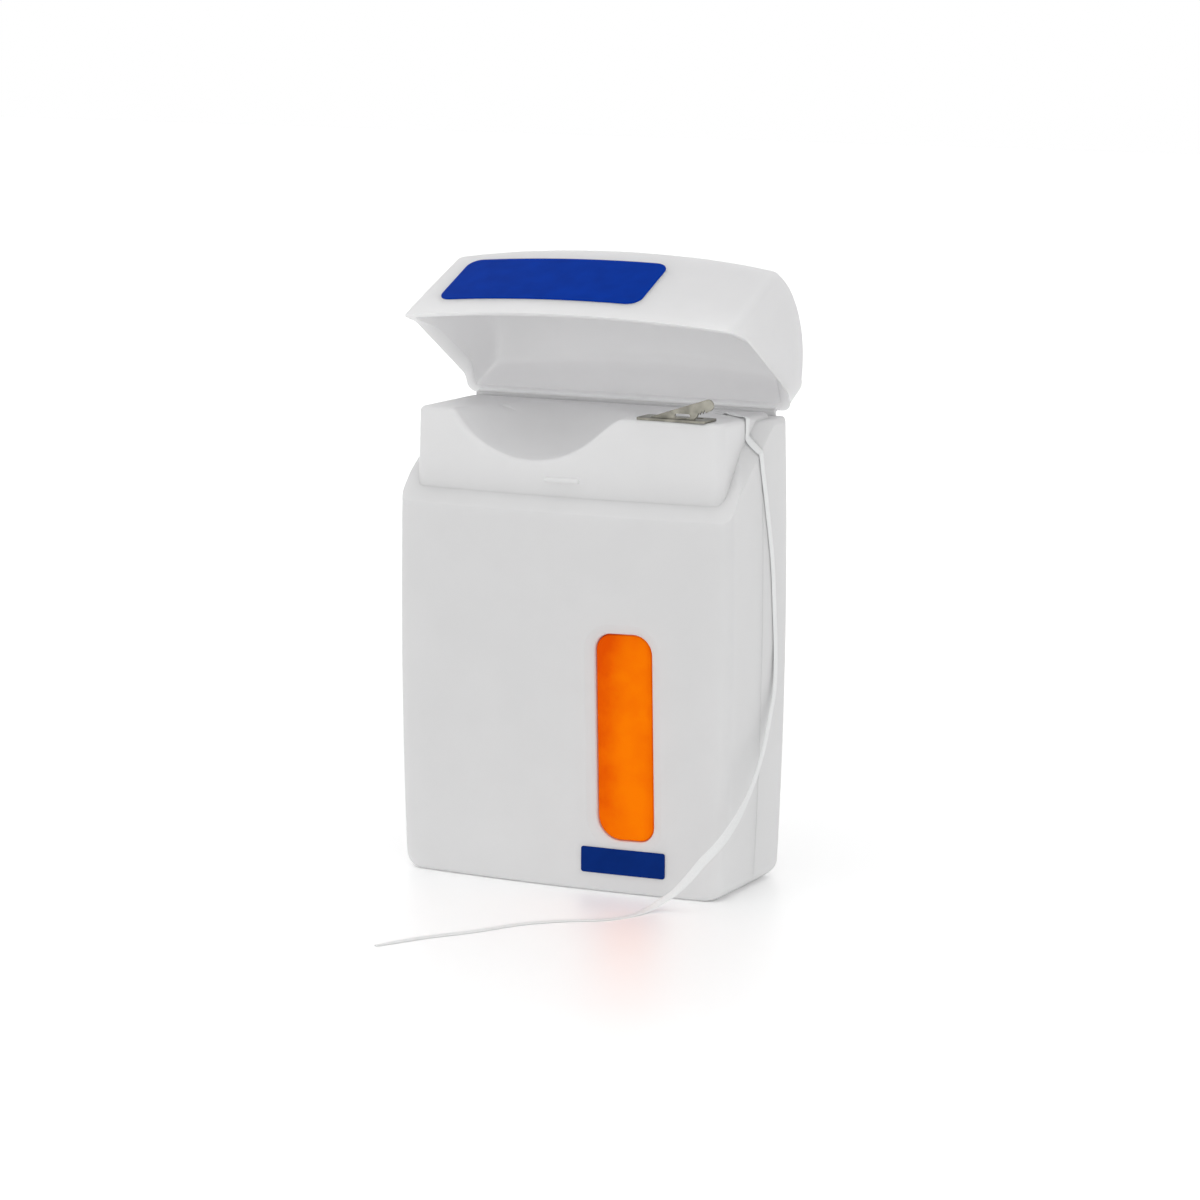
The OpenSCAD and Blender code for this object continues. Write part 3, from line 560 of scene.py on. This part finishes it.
class FLOSS_OT_camera(bpy.types.Operator):
    """Place the camera at the catalogue angle"""
    bl_idname = "floss.camera"
    bl_label = "Camera"

    def execute(self, context):
        data = bpy.data.cameras.new("view")
        data.sensor_width = 36
        data.lens = FOCAL / FRAME * data.sensor_width
        data.clip_start, data.clip_end = 0.01, 20
        cam = bpy.data.objects.new("view", data)
        context.scene.collection.objects.link(cam)
        yaw, pitch, roll = (math.radians(a) for a in CAMERA_TURN)
        back = Vector((math.sin(yaw) * math.cos(pitch), -math.cos(yaw) * math.cos(pitch), math.sin(pitch)))
        x = Vector((0, 0, 1)).cross(back).normalized()
        y = back.cross(x)
        x2, y2 = math.cos(roll) * x + math.sin(roll) * y, -math.sin(roll) * x + math.cos(roll) * y
        turn = Matrix((x2, y2, back)).transposed().to_4x4()
        cam.matrix_world = Matrix.Translation(Vector(CAMERA_PLACE) * MM) @ turn
        context.scene.camera = cam
        return {"FINISHED"}


class FLOSS_OT_strand(bpy.types.Operator):
    """Lay the loose strand from the hole over the side to the floor"""
    bl_idname = "floss.strand"
    bl_label = "Loose strand"

    def execute(self, context):
        s = sizes()
        w, t = s.ribbon / MM, s.ribbon_t / MM
        steps = 4
        path, face = [], []
        for k in range(len(STRAND) - 1):
            for j in range(steps):
                path.append(through(STRAND, k, j / steps))
                face.append(Vector(STRAND_FACES[k]).lerp(Vector(STRAND_FACES[k + 1]), j / steps))
        path.append(Vector(STRAND[-1]))
        face.append(Vector(STRAND_FACES[-1]))
        section = [(0.5, 0.0), (0.47, 0.3), (0.3, 0.5), (0.1, 0.42), (-0.1, 0.5), (-0.3, 0.45), (-0.47, 0.3),
                   (-0.5, 0.0), (-0.47, -0.3), (-0.3, -0.5), (-0.1, -0.42), (0.1, -0.5), (0.3, -0.45),
                   (0.47, -0.3)]
        verts, n = [], len(path)
        for k in range(n):
            along = (path[min(k + 1, n - 1)] - path[max(k - 1, 0)]).normalized()
            across = along.cross(face[k]).normalized()
            up = across.cross(along)
            end = min(1.0, 0.45 + 0.25 * (n - 1 - k))
            for a, b in section:
                verts.append((path[k] + across * a * w * end + up * b * t) * MM)
        m = len(section)
        faces = [(k * m + j, (k + 1) * m + j, (k + 1) * m + (j + 1) % m, k * m + (j + 1) % m)
                 for k in range(n - 1) for j in range(m)]
        faces += [tuple(range(m)), tuple(range((n - 1) * m + m - 1, (n - 1) * m - 1, -1))]
        mesh = bpy.data.meshes.new("loose_strand")
        mesh.from_pydata(verts, [], faces)
        obj = bpy.data.objects.new("loose_strand", mesh)
        context.scene.collection.objects.link(obj)
        only(obj)
        bpy.ops.object.mode_set(mode="EDIT")
        bpy.ops.mesh.select_all(action="SELECT")
        bpy.ops.mesh.normals_make_consistent(inside=False)
        bpy.ops.object.mode_set(mode="OBJECT")
        finish_piece(obj, "case", "floss", stock("floss"), "floss_tail", angle=60)
        return {"FINISHED"}


# Case shells

# places along the side at which the outline has a station, in front of, on and behind the seam
SIDE_SPOTS = (-6.54, -6.3, -6.0, -5.7, -5.45, -5.25, -5.1, -4.95, -4.75, -4.4, -3.9, -3.2, -2.4, -1.6,
              -0.8, -0.1, 0.5)
SEAM_SPOTS = (0.85, 1.02, 1.09, 1.14, 1.2, 1.26, 1.31, 1.38, 1.55)
BACK_SPOTS = (2.0, 2.6, 3.1, 3.4, 3.7, 4.0, 4.3, 4.6, 4.9, 5.2, 5.6, 6.0, 6.4, 6.8, 7.3)


def side_shares(seam=True, y0=-6.54, y1=7.7):
    """Shares along the side: even steps, finer where the rim bends and around the seam."""
    return [(y - y0) / (y1 - y0) for y in SIDE_SPOTS + (SEAM_SPOTS if seam else ()) + BACK_SPOTS]


SEAM_REACH = 0.17


def seam_sink(form, y, z=40.0):
    """Depth of the rounded groove along the seam, open in the upper half and tighter below."""
    d = abs(y - form.seam)
    if d > SEAM_REACH:
        return 0.0
    deep = 0.15 + 0.13 * min(max((z - 24) / 10, 0), 1) * min(max((50.5 - z) / 5, 0.2), 1)
    return deep * (1 - math.sqrt(max(0.0, 1 - ((SEAM_REACH - d) / SEAM_REACH) ** 2))) if d > 0.05 else deep


FILLET = 0.35


def edge_drop(form, i):
    """How far the rounded outer edge lies below the sharp bevel at inset i."""
    lean = math.pi / 2 - form.bevel
    if i >= FILLET * (1 - math.cos(lean)):
        return 0.0
    return math.tan(form.bevel) * i + FILLET * math.tan(lean / 2) - math.sqrt(FILLET ** 2 - (FILLET - i) ** 2)


def rim_height(outline, k, ix, iy):
    """Height of the case's rim at station k, ix and iy inside the outer faces."""
    f, i, r = outline.form, min(ix, iy), 0.22
    x, y = outline.spot(k, ix, iy, 48)
    flat = f.back - (r - math.sqrt(r * r - (r - i) ** 2) if i < r else 0.0)
    return min(flat, f.rim(x, y, 0, f.back - f.rim_drop) - edge_drop(f, i))


def case_rings(outline):
    """Rings of the hollow case: up the outside, over the bevelled rim and down the inside."""
    f = outline.form
    n = len(outline)
    rings = []
    inner = (f.neck_side + 0.6, f.neck_front + 0.6)

    def ring(ix, iy, zs, groove=True):
        pts = []
        for k in range(n):
            z = zs[k] if isinstance(zs, list) else zs
            x, y = outline.spot(k, ix, iy, z)
            if groove and outline.stations[k][0] == "side":
                x -= math.copysign(seam_sink(f, y, z), x)
            pts.append((x, y, z))
        rings.append(pts)

    for a in (0, 6, 12, 20, 30, 40, 50, 60, 70, 80):
        z = f.foot * (1 - math.cos(math.radians(a)))
        ix = f.foot * (1 - math.sin(math.radians(a)))
        iy = 0.5 - math.sqrt(0.25 - (0.5 - z) ** 2) if z < 0.5 else 0.0
        ring(ix, iy, z)
    top = [rim_height(outline, k, 0, 0) for k in range(n)]
    for share in (0, 0.06, 0.12, 0.2, 0.28, 0.36, 0.44, 0.52, 0.6, 0.68, 0.76, 0.84, 0.9, 0.95, 0.98, 1.0):
        ring(0, 0, [f.foot + (t - f.foot) * share for t in top])
    for share in (0.004, 0.01, 0.024, 0.04, 0.07, 0.11, 0.2, 0.33, 0.45, 0.55, 0.65, 0.8, 1.0):
        ix, iy = inner[0] * share, inner[1] * share
        zs = []
        for k in range(n):
            z = rim_height(outline, k, ix, iy)
            if outline.stations[k][0] == "side":
                z -= 0.5 * seam_sink(f, outline.spot(k, 0, 0, 48)[1])
            zs.append(z)
        ring(ix, iy, zs, groove=iy < 0.1)
    low = list(zs)
    for share in (0.12, 0.3, 0.5, 0.7, 0.85, 1.0):
        ring(*inner, [z + (2.5 - z) * share for z in low], groove=False)
    for a in (20, 40, 60, 80, 90):
        a = math.radians(a)
        step = 0.4 * (1 - math.cos(a))
        ring(inner[0] + step, inner[1] + step, 2.5 - 1.1 * math.sin(a), groove=False)
    return rings


# radii of the window's corners, from the lower right one anticlockwise
WINDOW_CORNERS = (1.8, 2.3, 1.9, 2.9)


def window_ring(form, off, depth, corner=10, long=6, high=1):
    """Ring around the leaning window on the crowned front, off outside its edge and depth behind the face."""
    radii = tuple(max(r + off, 0.02) for r in WINDOW_CORNERS)
    rect = rounded_rect(form.window_w + 2 * off, form.window_h + 2 * off, radii, corner=corner, long=long,
                        high=high)
    x, z = form.window_x, form.window_low + form.window_h / 2
    c, s = math.cos(form.window_lean), math.sin(form.window_lean)
    spots = [(x + a * c - b * s, z + b * c + a * s) for a, b in rect]
    return [(u, form.front_at(u) + depth, v) for u, v in spots]


class FLOSS_OT_case(bpy.types.Operator):
    """Model the case and part it into its front and rear shells"""
    bl_idname = "floss.case"
    bl_label = "Case shells"

    def execute(self, context):
        form = Form()
        outline = Outline(form, front=12, side=side_shares())
        case = loft("front_shell_moulding", case_rings(outline))
        wide = 1.15
        steps = [(wide + 0.5, -1.2), (wide + 0.02, -0.25), (wide - 0.05, 0.02), (wide - 0.3, 0.08),
                 (wide - 0.6, 0.16), (0.32, 0.25), (0.2, 0.29), (0.1, 0.35), (0.03, 0.44), (0, 0.56), (0, 3)]
        tool = loft("window_tool", [window_ring(form, off, depth) for off, depth in steps])
        cut(case, tool)
        only(case)
        bpy.ops.object.duplicate()
        rear = context.object
        rear.name = rear.data.name = "rear_shell_moulding"
        for piece, side in ((case, 1), (rear, -1)):
            only(piece)
            bpy.ops.object.mode_set(mode="EDIT")
            bpy.ops.mesh.select_all(action="SELECT")
            bpy.ops.mesh.bisect(plane_co=(0, (form.seam - side * 0.012) * MM, 0), plane_no=(0, side, 0),
                                use_fill=True, clear_outer=True, threshold=1e-7)
            bpy.ops.mesh.select_all(action="SELECT")
            bpy.ops.mesh.normals_make_consistent(inside=False)
            bpy.ops.object.mode_set(mode="OBJECT")
        finish_piece(case, "case", "case", stock("case"), "front_shell")
        finish_piece(rear, "case", "case", stock("case"), "rear_shell")
        return {"FINISHED"}


# Head

def scoop_height(form, x, y):
    """Height of the deck with the finger scoop in it, its shoulder soft at the right, crisp at the left."""
    d2 = (form.scoop ** 2 - (x + form.scoop_left) ** 2
          - (y - form.front_at(form.scoop_left, form.neck_front)) ** 2)
    if d2 <= 0:
        return form.deck
    bowl = form.deck - form.scoop_depth + form.scoop - math.sqrt(d2)
    k = 0.7 + 1.9 * min(max((x + form.scoop_left) / 8, (y + 6) / 9, 0), 1) ** 2
    h = max(k - abs(form.deck - bowl), 0) / k
    return min(form.deck, bowl) - h * h * k / 4


class FLOSS_OT_head(bpy.types.Operator):
    """Model the dispensing head with its deck, finger scoop, floss hole and snap bead"""
    bl_idname = "floss.head"
    bl_label = "Dispensing head"

    def execute(self, context):
        form = Form()
        corner = form.neck_corner + form.neck_front
        outline = Outline(form, front=64, corner=7, side=[k / 30 for k in range(30)], back_corner=7, back=40,
                          radii=(corner, corner))
        n = len(outline)
        rings = []

        def ring(i, zs):
            zs = zs if isinstance(zs, list) else [zs] * n
            rings.append([(*outline.spot(k, form.neck_side + i, form.neck_front + i, z), z)
                          for k, z in enumerate(zs)])

        low = form.shoulder - 3
        ring(1.1, low + 6.5)
        ring(1.1, low)
        ring(0, low)
        r = 0.6
        edge = [scoop_height(form, *outline.spot(k, form.neck_side, form.neck_front, 50)) for k in range(n)]
        for share in (0.1, 0.2, 0.3, 0.4, 0.5, 0.6, 0.7, 0.8, 0.9, 0.96, 1.0):
            ring(0, [low + (z - r - low) * share for z in edge])
        i = 0.0
        while i < 6.5:
            drop = r - math.sqrt(r * r - (r - i) ** 2) if i < r else 0.0
            if i > 0:
                ring(i, [scoop_height(form, *outline.spot(k, form.neck_side + i, form.neck_front + i, 53))
                         - drop for k in range(n)])
            i += 0.02 if i < 0.1 else 0.07 if i < r else 0.17
        last = rings[-1]
        for share in (0.25, 0.5):
            spots = [(x * (1 - 0.06 * share), y + (0.1 - y) * share) for x, y, z in last]
            rings.append([(x, y, scoop_height(form, x, y)) for x, y in spots])
        head = loft("dispensing_head_moulding", rings)
        prof = [(1.1, -8), (1.1, -0.5), (1.12, -0.32), (1.2, -0.16), (1.34, -0.04), (1.5, 0.02), (1.6, 0.5)]
        tool = [[(x, y, form.deck + z) for x, y in disc(*STRAND[0][:2], q, 48)] for q, z in prof]
        cut(head, loft("hole_tool", tool))
        bead = []
        for k in range(25):
            x = -2.4 + 4.5 * (1 - math.cos(math.pi * k / 24)) / 2
            r = 0.3 * min(1, math.sqrt(max(0.01, 1 - (max(abs(x + 0.15) - 1.95, 0) / 0.3) ** 2)))
            y = form.front_at(x, form.neck_front)
            bead.append([(x, v, z) for v, z in disc(y, form.shoulder + 3.6, r, 20)])
        cut(head, loft("snap_bead", bead), "UNION")
        finish_piece(head, "case", "head", stock("head"), "dispensing_head")
        return {"FINISHED"}


# Cap

def dome_height(form, x, y, i=0.0):
    """Height of the cap's dome over x, y, i inside its outer surface."""
    u = min(abs(y - 1.9), 12 - i - 0.01)
    rho = 70 + math.sqrt((12 - i) ** 2 - u * u)
    return form.cap_top - 82 + math.sqrt(rho ** 2 - x * x)


def cap_rim(outline, k, i):
    """Height of the cap's lower edge at station k, i inside the outer face."""
    f, r = outline.form, 0.08
    top = f.back + 1.3
    x, y = outline.spot(k, i, i, 48)
    ease = r - math.sqrt(r * r - (r - i) ** 2) if i < r else 0.0
    return min(f.rim(x, y, 0.5, top), top) + ease


def dome_profile(outline, k, inset, radius, count):
    """Rounding between the wall and the dome at station k, as (i, z) pairs, from the wall inwards."""
    def top(i):
        x, y = outline.spot(k, inset + i, inset + i, 58)
        return dome_height(outline.form, x, y, inset)
    slope = (top(0.2) - top(0.0)) / 0.2
    lean = math.atan(slope)
    span = math.pi / 2 - lean
    t = radius * math.tan(span / 2)
    z0 = top(0)
    pts = []
    for j in range(count + 1):
        a = span * j / count
        i = radius * (1 - math.cos(a))
        z = z0 - t + radius * math.sin(a)
        pts.append((i, z + (top(i) - (z0 + slope * i)) * (j / count)))
    return pts


def shell_radius(outline, k, radii):
    """Edge radius at station k, blended between front, side and back."""
    front, side, back = radii
    kind, t, _ = outline.stations[k]
    if kind == "front":
        return front
    if kind == "corner":
        return front + (side - front) * t
    if kind == "side":
        return side + (back - side) * max(0, (t - 0.5) / 0.5) ** 2
    return back


class FLOSS_OT_cap(bpy.types.Operator):
    """Model the domed cap with its hollow and turn it open about the hinge"""
    bl_idname = "floss.cap"
    bl_label = "Cap"

    def execute(self, context):
        form = Form()
        outline = Outline(form, front=20, corner=7, side=side_shares(seam=False), back_corner=7, back=12)
        n = len(outline)
        rings = []

        def shell(inset, radii, upward, low, last):
            rows = []
            profiles = [dome_profile(outline, k, inset, shell_radius(outline, k, radii), 7) for k in range(n)]
            for share in (0, 0.15, 0.3, 0.45, 0.6, 0.75, 0.9):
                row = []
                for k in range(n):
                    z = low[k] + (profiles[k][0][1] - low[k]) * share
                    row.append((*outline.spot(k, inset, inset, z), z))
                rows.append(row)
            for j in range(8):
                row = []
                for k in range(n):
                    i, z = profiles[k][j]
                    row.append((*outline.spot(k, inset + i, inset + i, z), z))
                rows.append(row)
            steps = 14
            for j in range(1, steps + 1):
                row = []
                for k in range(n):
                    i0 = profiles[k][-1][0]
                    i = i0 + (last - inset - i0) * j / steps
                    x, y = outline.spot(k, inset + i, inset + i, 60)
                    row.append((x, y, dome_height(form, x, y, inset)))
                rows.append(row)
            return rows if upward else rows[::-1]

        # the dome closes at this inset, before its crowned front and its back would cross
        middle = 7.9
        wall = form.cap_wall
        inner_low = [cap_rim(outline, k, wall) + 0.1 for k in range(n)]
        rings += shell(wall, (1.4, 0.9, 2.1), False, inner_low, middle)
        for i in (1.07, 1.0, 0.7, 0.4, 0.15, 0.1, 0.05, 0.02, 0.0):
            rings.append([(*outline.spot(k, i, i, 50), cap_rim(outline, k, i)) for k in range(n)])
        outer_low = [cap_rim(outline, k, 0.0) for k in range(n)]
        rings += shell(0.0, (2.5, 1.6, 3.2), True, outer_low, middle)[1:]
        cap = loft("cap_moulding", rings)
        bpy.ops.mesh.primitive_cube_add(size=1, location=(0, form.hinge[0] * MM, (form.hinge[1] + 0.65) * MM),
                                        scale=(38.7 * MM, 0.4 * MM, 0.7 * MM))
        cut(cap, context.object, "UNION")
        open_up(cap, form)
        finish_piece(cap, "cap", "cap", stock("cap"), "cap")
        return {"FINISHED"}


# Labels, window, cutter

def patch(form, name, cx, cz, w, h, r):
    """Thin printed patch around cx, cz that follows the crowned front, from its back to its middle."""
    t = 0.12
    rings = [(0.0, 0.0), (0.0, t * 0.6), (0.02, t * 0.88), (0.06, t), (0.3, t)]
    last = min(w, h) / 2 - 0.06
    rings += [(0.3 + (last - 0.3) * k / 5, t) for k in range(1, 6)]
    pts = []
    for off, lift in rings:
        rect = rounded_rect(w - 2 * off, h - 2 * off, max(r - off, 0.02), corner=6, long=28, high=8)
        pts.append([(cx + a, form.front_at(cx + a, -lift), cz + b) for a, b in rect])
    return loft(name, pts)


class FLOSS_OT_labels(bpy.types.Operator):
    """Print the plain blue patches on the cap and below the window"""
    bl_idname = "floss.labels"
    bl_label = "Printed patches"

    def execute(self, context):
        form = Form()
        top = patch(form, "cap_patch", -4.8, form.back - 1.9, 25.8, 9.6, 1.6)
        open_up(top, form)
        finish_piece(top, "cap", "label", stock("label"), "cap_label")
        low = patch(form, "front_patch", form.window_x + 0.1, 3.7, 10.4, 3, 0.3)
        finish_piece(low, "case", "label", stock("low_label"), "front_label")
        return {"FINISHED"}


class FLOSS_OT_window(bpy.types.Operator):
    """Model the amber window pane"""
    bl_idname = "floss.window"
    bl_label = "Window pane"

    def execute(self, context):
        form = Form()
        steps = [(0.8, 1.94), (0.8, 1.38), (-0.13, 1.37), (-0.13, 0.66), (-0.16, 0.58), (-0.22, 0.53),
                 (-0.32, 0.5), (-0.7, 0.5), (-1.4, 0.5), (-2.1, 0.5), (-2.8, 0.5), (-3.42, 0.5)]
        rings = [window_ring(form, off, depth, long=4, high=24) for off, depth in steps]
        pane = loft("amber_window", rings)
        finish_piece(pane, "case", "window", stock("window"), "window_pane")
        return {"FINISHED"}


def slab(name, outline, place, low, high, edge=0.04):
    """Flat sheet with eased edges: outline pairs set by place(a, b, level) between low and high."""
    rings = [[place(a, b, low) for a, b in outline], [place(a, b, high) for a, b in outline]]
    obj = loft(name, rings)
    return modify(obj, "BEVEL", width=edge * MM, segments=2, limit_method="ANGLE",
                  angle_limit=math.radians(40))


def disc(x, y, r, count=24):
    turns = [2 * math.pi * k / count for k in range(count)]
    return [(x + r * math.cos(a), y + r * math.sin(a)) for a in turns]


class FLOSS_OT_cutter(bpy.types.Operator):
    """Model the thread cutter: a flat plate on the deck with a hooked, toothed fin bent up from it"""
    bl_idname = "floss.cutter"
    bl_label = "Cutter"

    def execute(self, context):
        form = Form()
        x0, y0, z0, t = form.half_w - 12.55, -(form.half_d - 2.3), form.deck, 0.3

        def flat(a, b, level):
            return x0 + a, y0 + b, z0 + level

        def standing(a, b, level):
            return x0 + 1.5 + a, y0 + 0.7 + level, z0 + b

        rect = [(4.3 + a, 1.7 + b) for a, b in rounded_rect(8.6, 3.4, 0.35, corner=5)]
        plate = slab("cutter", rect, flat, 0.01, t, 0.05)
        cut(plate, loft("hole", [[flat(a, b, level) for a, b in disc(6.9, 2.55, 0.43)] for level in (-1, 1)]))
        top = [(7.12 + 0.68 * math.cos(math.radians(a)), 2.0 + 0.68 * math.sin(math.radians(a)))
               for a in range(112, -81, -12)]
        teeth = [(6.86, 1.16), (6.74, 1.5), (6.5, 1.04), (6.38, 1.36), (6.14, 0.9), (6.02, 1.16), (5.8, 0.66),
                 (5.5, 0.36), (5.3, 0.05)]
        fin = slab("fin", [(0, 0.05), (0.02, 0.3), (0.16, 0.42)] + top + teeth, standing, 0.0, t, 0.02)
        slot = [(4.0 + a, 0.68 + b) for a, b in rounded_rect(1.9, 0.44, 0.2, corner=4)]
        cut(fin, loft("slot", [[standing(a, b, level) for a, b in slot] for level in (-1, 1)]))
        cut(plate, fin, "UNION")
        root = [(-0.1, 0.0), (-0.07, 0.02), (-0.03, 0.05), (0.0, 0.1), (0.05, 0.1), (0.05, -0.05),
                (-0.1, -0.05)]
        foot = [[(x0 + 1.5 + a, y0 + 0.7 + b, z0 + t + c) for b, c in root] for a in (0.1, 5.2)]
        cut(plate, loft("root", foot), "UNION")
        finish_piece(plate, "case", "steel", stock("steel"), "cutter", angle=22)
        return {"FINISHED"}


class FLOSS_OT_cad_finish(bpy.types.Operator):
    """Give the parts that stay as built their finish"""
    bl_idname = "floss.cad_finish"
    bl_label = "Finish of the inner parts"

    def execute(self, context):
        for node, key in (("living_hinge", "case"), ("spool_core", "spool"),
                          ("floss_winding", "floss"), ("floss_lead", "floss")):
            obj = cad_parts[node]
            for k in range(len(obj.material_slots)):
                obj.material_slots[k].material = stock(key)
            if not obj.material_slots:
                obj.data.materials.append(stock(key))
        return {"FINISHED"}


# Stage

SURROUND = 0.56
# the floor: its white for the light on the object, and how much it lights the object from below
FLOOR_PALE, FLOOR_LIFT = 0.85, 0.12
# its white as it is seen, which rises between two distances from the middle
FLOOR_SEEN = (0.06, 0.5), (1.36, 2.6)
# its gloss, which fades between two distances from the case
FLOOR_GLOSS = (0.015, 0.105), (0.52, 0.05)
# name, place, size and power of each lamp
LAMPS = (("left_lamp", (-0.4, -0.6, 0.35), 0.5, 0.4),
         ("right_lamp", (0.65, -0.25, 0.35), 0.3, 0.35),
         ("top_lamp", (0.0, -0.15, 0.8), 0.6, 1.5))


def seen_directly(nodes, links, low, high):
    """Value that is high for camera, glossy and transmission rays and low for light on the object."""
    rays = nodes.new("ShaderNodeLightPath").outputs
    direct = math_node(nodes, links, "MAXIMUM", rays["Is Camera Ray"], rays["Is Glossy Ray"])
    direct = math_node(nodes, links, "MAXIMUM", direct, rays["Is Transmission Ray"])
    return remap(nodes, links, direct, (0.0, 1.0), (low, high))


class FLOSS_OT_stage(bpy.types.Operator):
    """Set the pale glossy floor, the soft lamps and the white surroundings"""
    bl_idname = "floss.stage"
    bl_label = "Floor and lights"

    def execute(self, context):
        form = Form()
        deselect()
        bpy.ops.mesh.primitive_plane_add(size=3, location=(0, 0, 0))
        floor = context.object
        floor.name = "floor"
        m, nodes, links, bsdf = material("pale_floor")
        floor.data.materials.append(m)
        nodes.remove(bsdf)
        base = nodes.new("ShaderNodeBsdfDiffuse")
        place = nodes.new("ShaderNodeTexCoord").outputs["Object"]
        reach = add(nodes, "ShaderNodeVectorMath", Operation="LENGTH")
        links.new(place, reach.inputs[0])
        seen = remap(nodes, links, reach.outputs["Value"], *FLOOR_SEEN)
        links.new(seen_directly(nodes, links, FLOOR_PALE, seen), base.inputs["Color"])
        lift = add(nodes, "ShaderNodeEmission", Color=(1, 1, 1, 1))
        links.new(seen_directly(nodes, links, FLOOR_LIFT, 0.0), lift.inputs["Strength"])
        pale = nodes.new("ShaderNodeAddShader")
        links.new(base.outputs["BSDF"], pale.inputs[0])
        links.new(lift.outputs["Emission"], pale.inputs[1])
        gloss = add(nodes, "ShaderNodeBsdfGlossy", Color=(1, 1, 1, 1), Roughness=0.44)
        split = nodes.new("ShaderNodeSeparateXYZ")
        links.new(place, split.inputs[0])
        away = [math_node(nodes, links, "MULTIPLY_ADD", split.outputs[axis], lean, -edge * lean)
                for axis, edge, lean in (("Y", -form.half_d * MM, -1.11), ("X", form.half_w * MM, 2.28))]
        polish = remap(nodes, links, math_node(nodes, links, "MAXIMUM", *away), *FLOOR_GLOSS)
        both = nodes.new("ShaderNodeMixShader")
        links.new(polish, both.inputs["Fac"])
        links.new(pale.outputs["Shader"], both.inputs[1])
        links.new(gloss.outputs["BSDF"], both.inputs[2])
        links.new(both.outputs["Shader"], nodes["Material Output"].inputs["Surface"])

        world = bpy.data.worlds.new("studio")
        context.scene.world = world
        world.use_nodes = True
        nodes, links = world.node_tree.nodes, world.node_tree.links
        background = nodes["Background"]
        links.new(seen_directly(nodes, links, SURROUND, 1.0), background.inputs["Strength"])
        background.inputs["Color"].default_value = (1, 1, 1, 1)

        for name, place, size, power in LAMPS:
            data = bpy.data.lights.new(name, "AREA")
            data.size = size
            data.energy = power
            lamp = bpy.data.objects.new(name, data)
            context.scene.collection.objects.link(lamp)
            lamp.location = place
            lamp.rotation_mode = "QUATERNION"
            lamp.rotation_quaternion = (Vector((0, 0, 0.03)) - Vector(place)).to_track_quat("-Z", "Y")
        context.scene.view_settings.view_transform = "Standard"
        return {"FINISHED"}


class FLOSS_PT_panel(bpy.types.Panel):
    """Sidebar list of the dispenser's pieces"""
    bl_label = "Floss dispenser"
    bl_idname = "FLOSS_PT_panel"
    bl_space_type = "VIEW_3D"
    bl_region_type = "UI"
    bl_category = "Floss"

    def draw(self, context):
        for group in (context.scene.floss_sizes, context.scene.floss_colours):
            box = self.layout.box()
            for key in group.__annotations__:
                box.prop(group, key)
        for c in OPERATORS:
            self.layout.operator(c.bl_idname)


OPERATORS = (FLOSS_OT_camera, FLOSS_OT_strand, FLOSS_OT_case, FLOSS_OT_head, FLOSS_OT_cap, FLOSS_OT_labels,
             FLOSS_OT_window, FLOSS_OT_cutter, FLOSS_OT_cad_finish, FLOSS_OT_stage)
CLASSES = (FLOSS_PG_sizes, FLOSS_PG_colours, *OPERATORS, FLOSS_PT_panel)


def register():
    for c in CLASSES:
        bpy.utils.register_class(c)
    bpy.types.Scene.floss_sizes = PointerProperty(type=FLOSS_PG_sizes)
    bpy.types.Scene.floss_colours = PointerProperty(type=FLOSS_PG_colours)


def unregister():
    del bpy.types.Scene.floss_colours
    del bpy.types.Scene.floss_sizes
    for c in reversed(CLASSES):
        bpy.utils.unregister_class(c)


def main():
    register()
    bpy.ops.floss.camera()
    bpy.ops.floss.strand()
    bpy.ops.floss.case()
    bpy.ops.floss.head()
    bpy.ops.floss.cap()
    bpy.ops.floss.labels()
    bpy.ops.floss.window()
    bpy.ops.floss.cutter()
    bpy.ops.floss.cad_finish()
    bpy.ops.floss.stage()


if __name__ == "__main__":
    main()
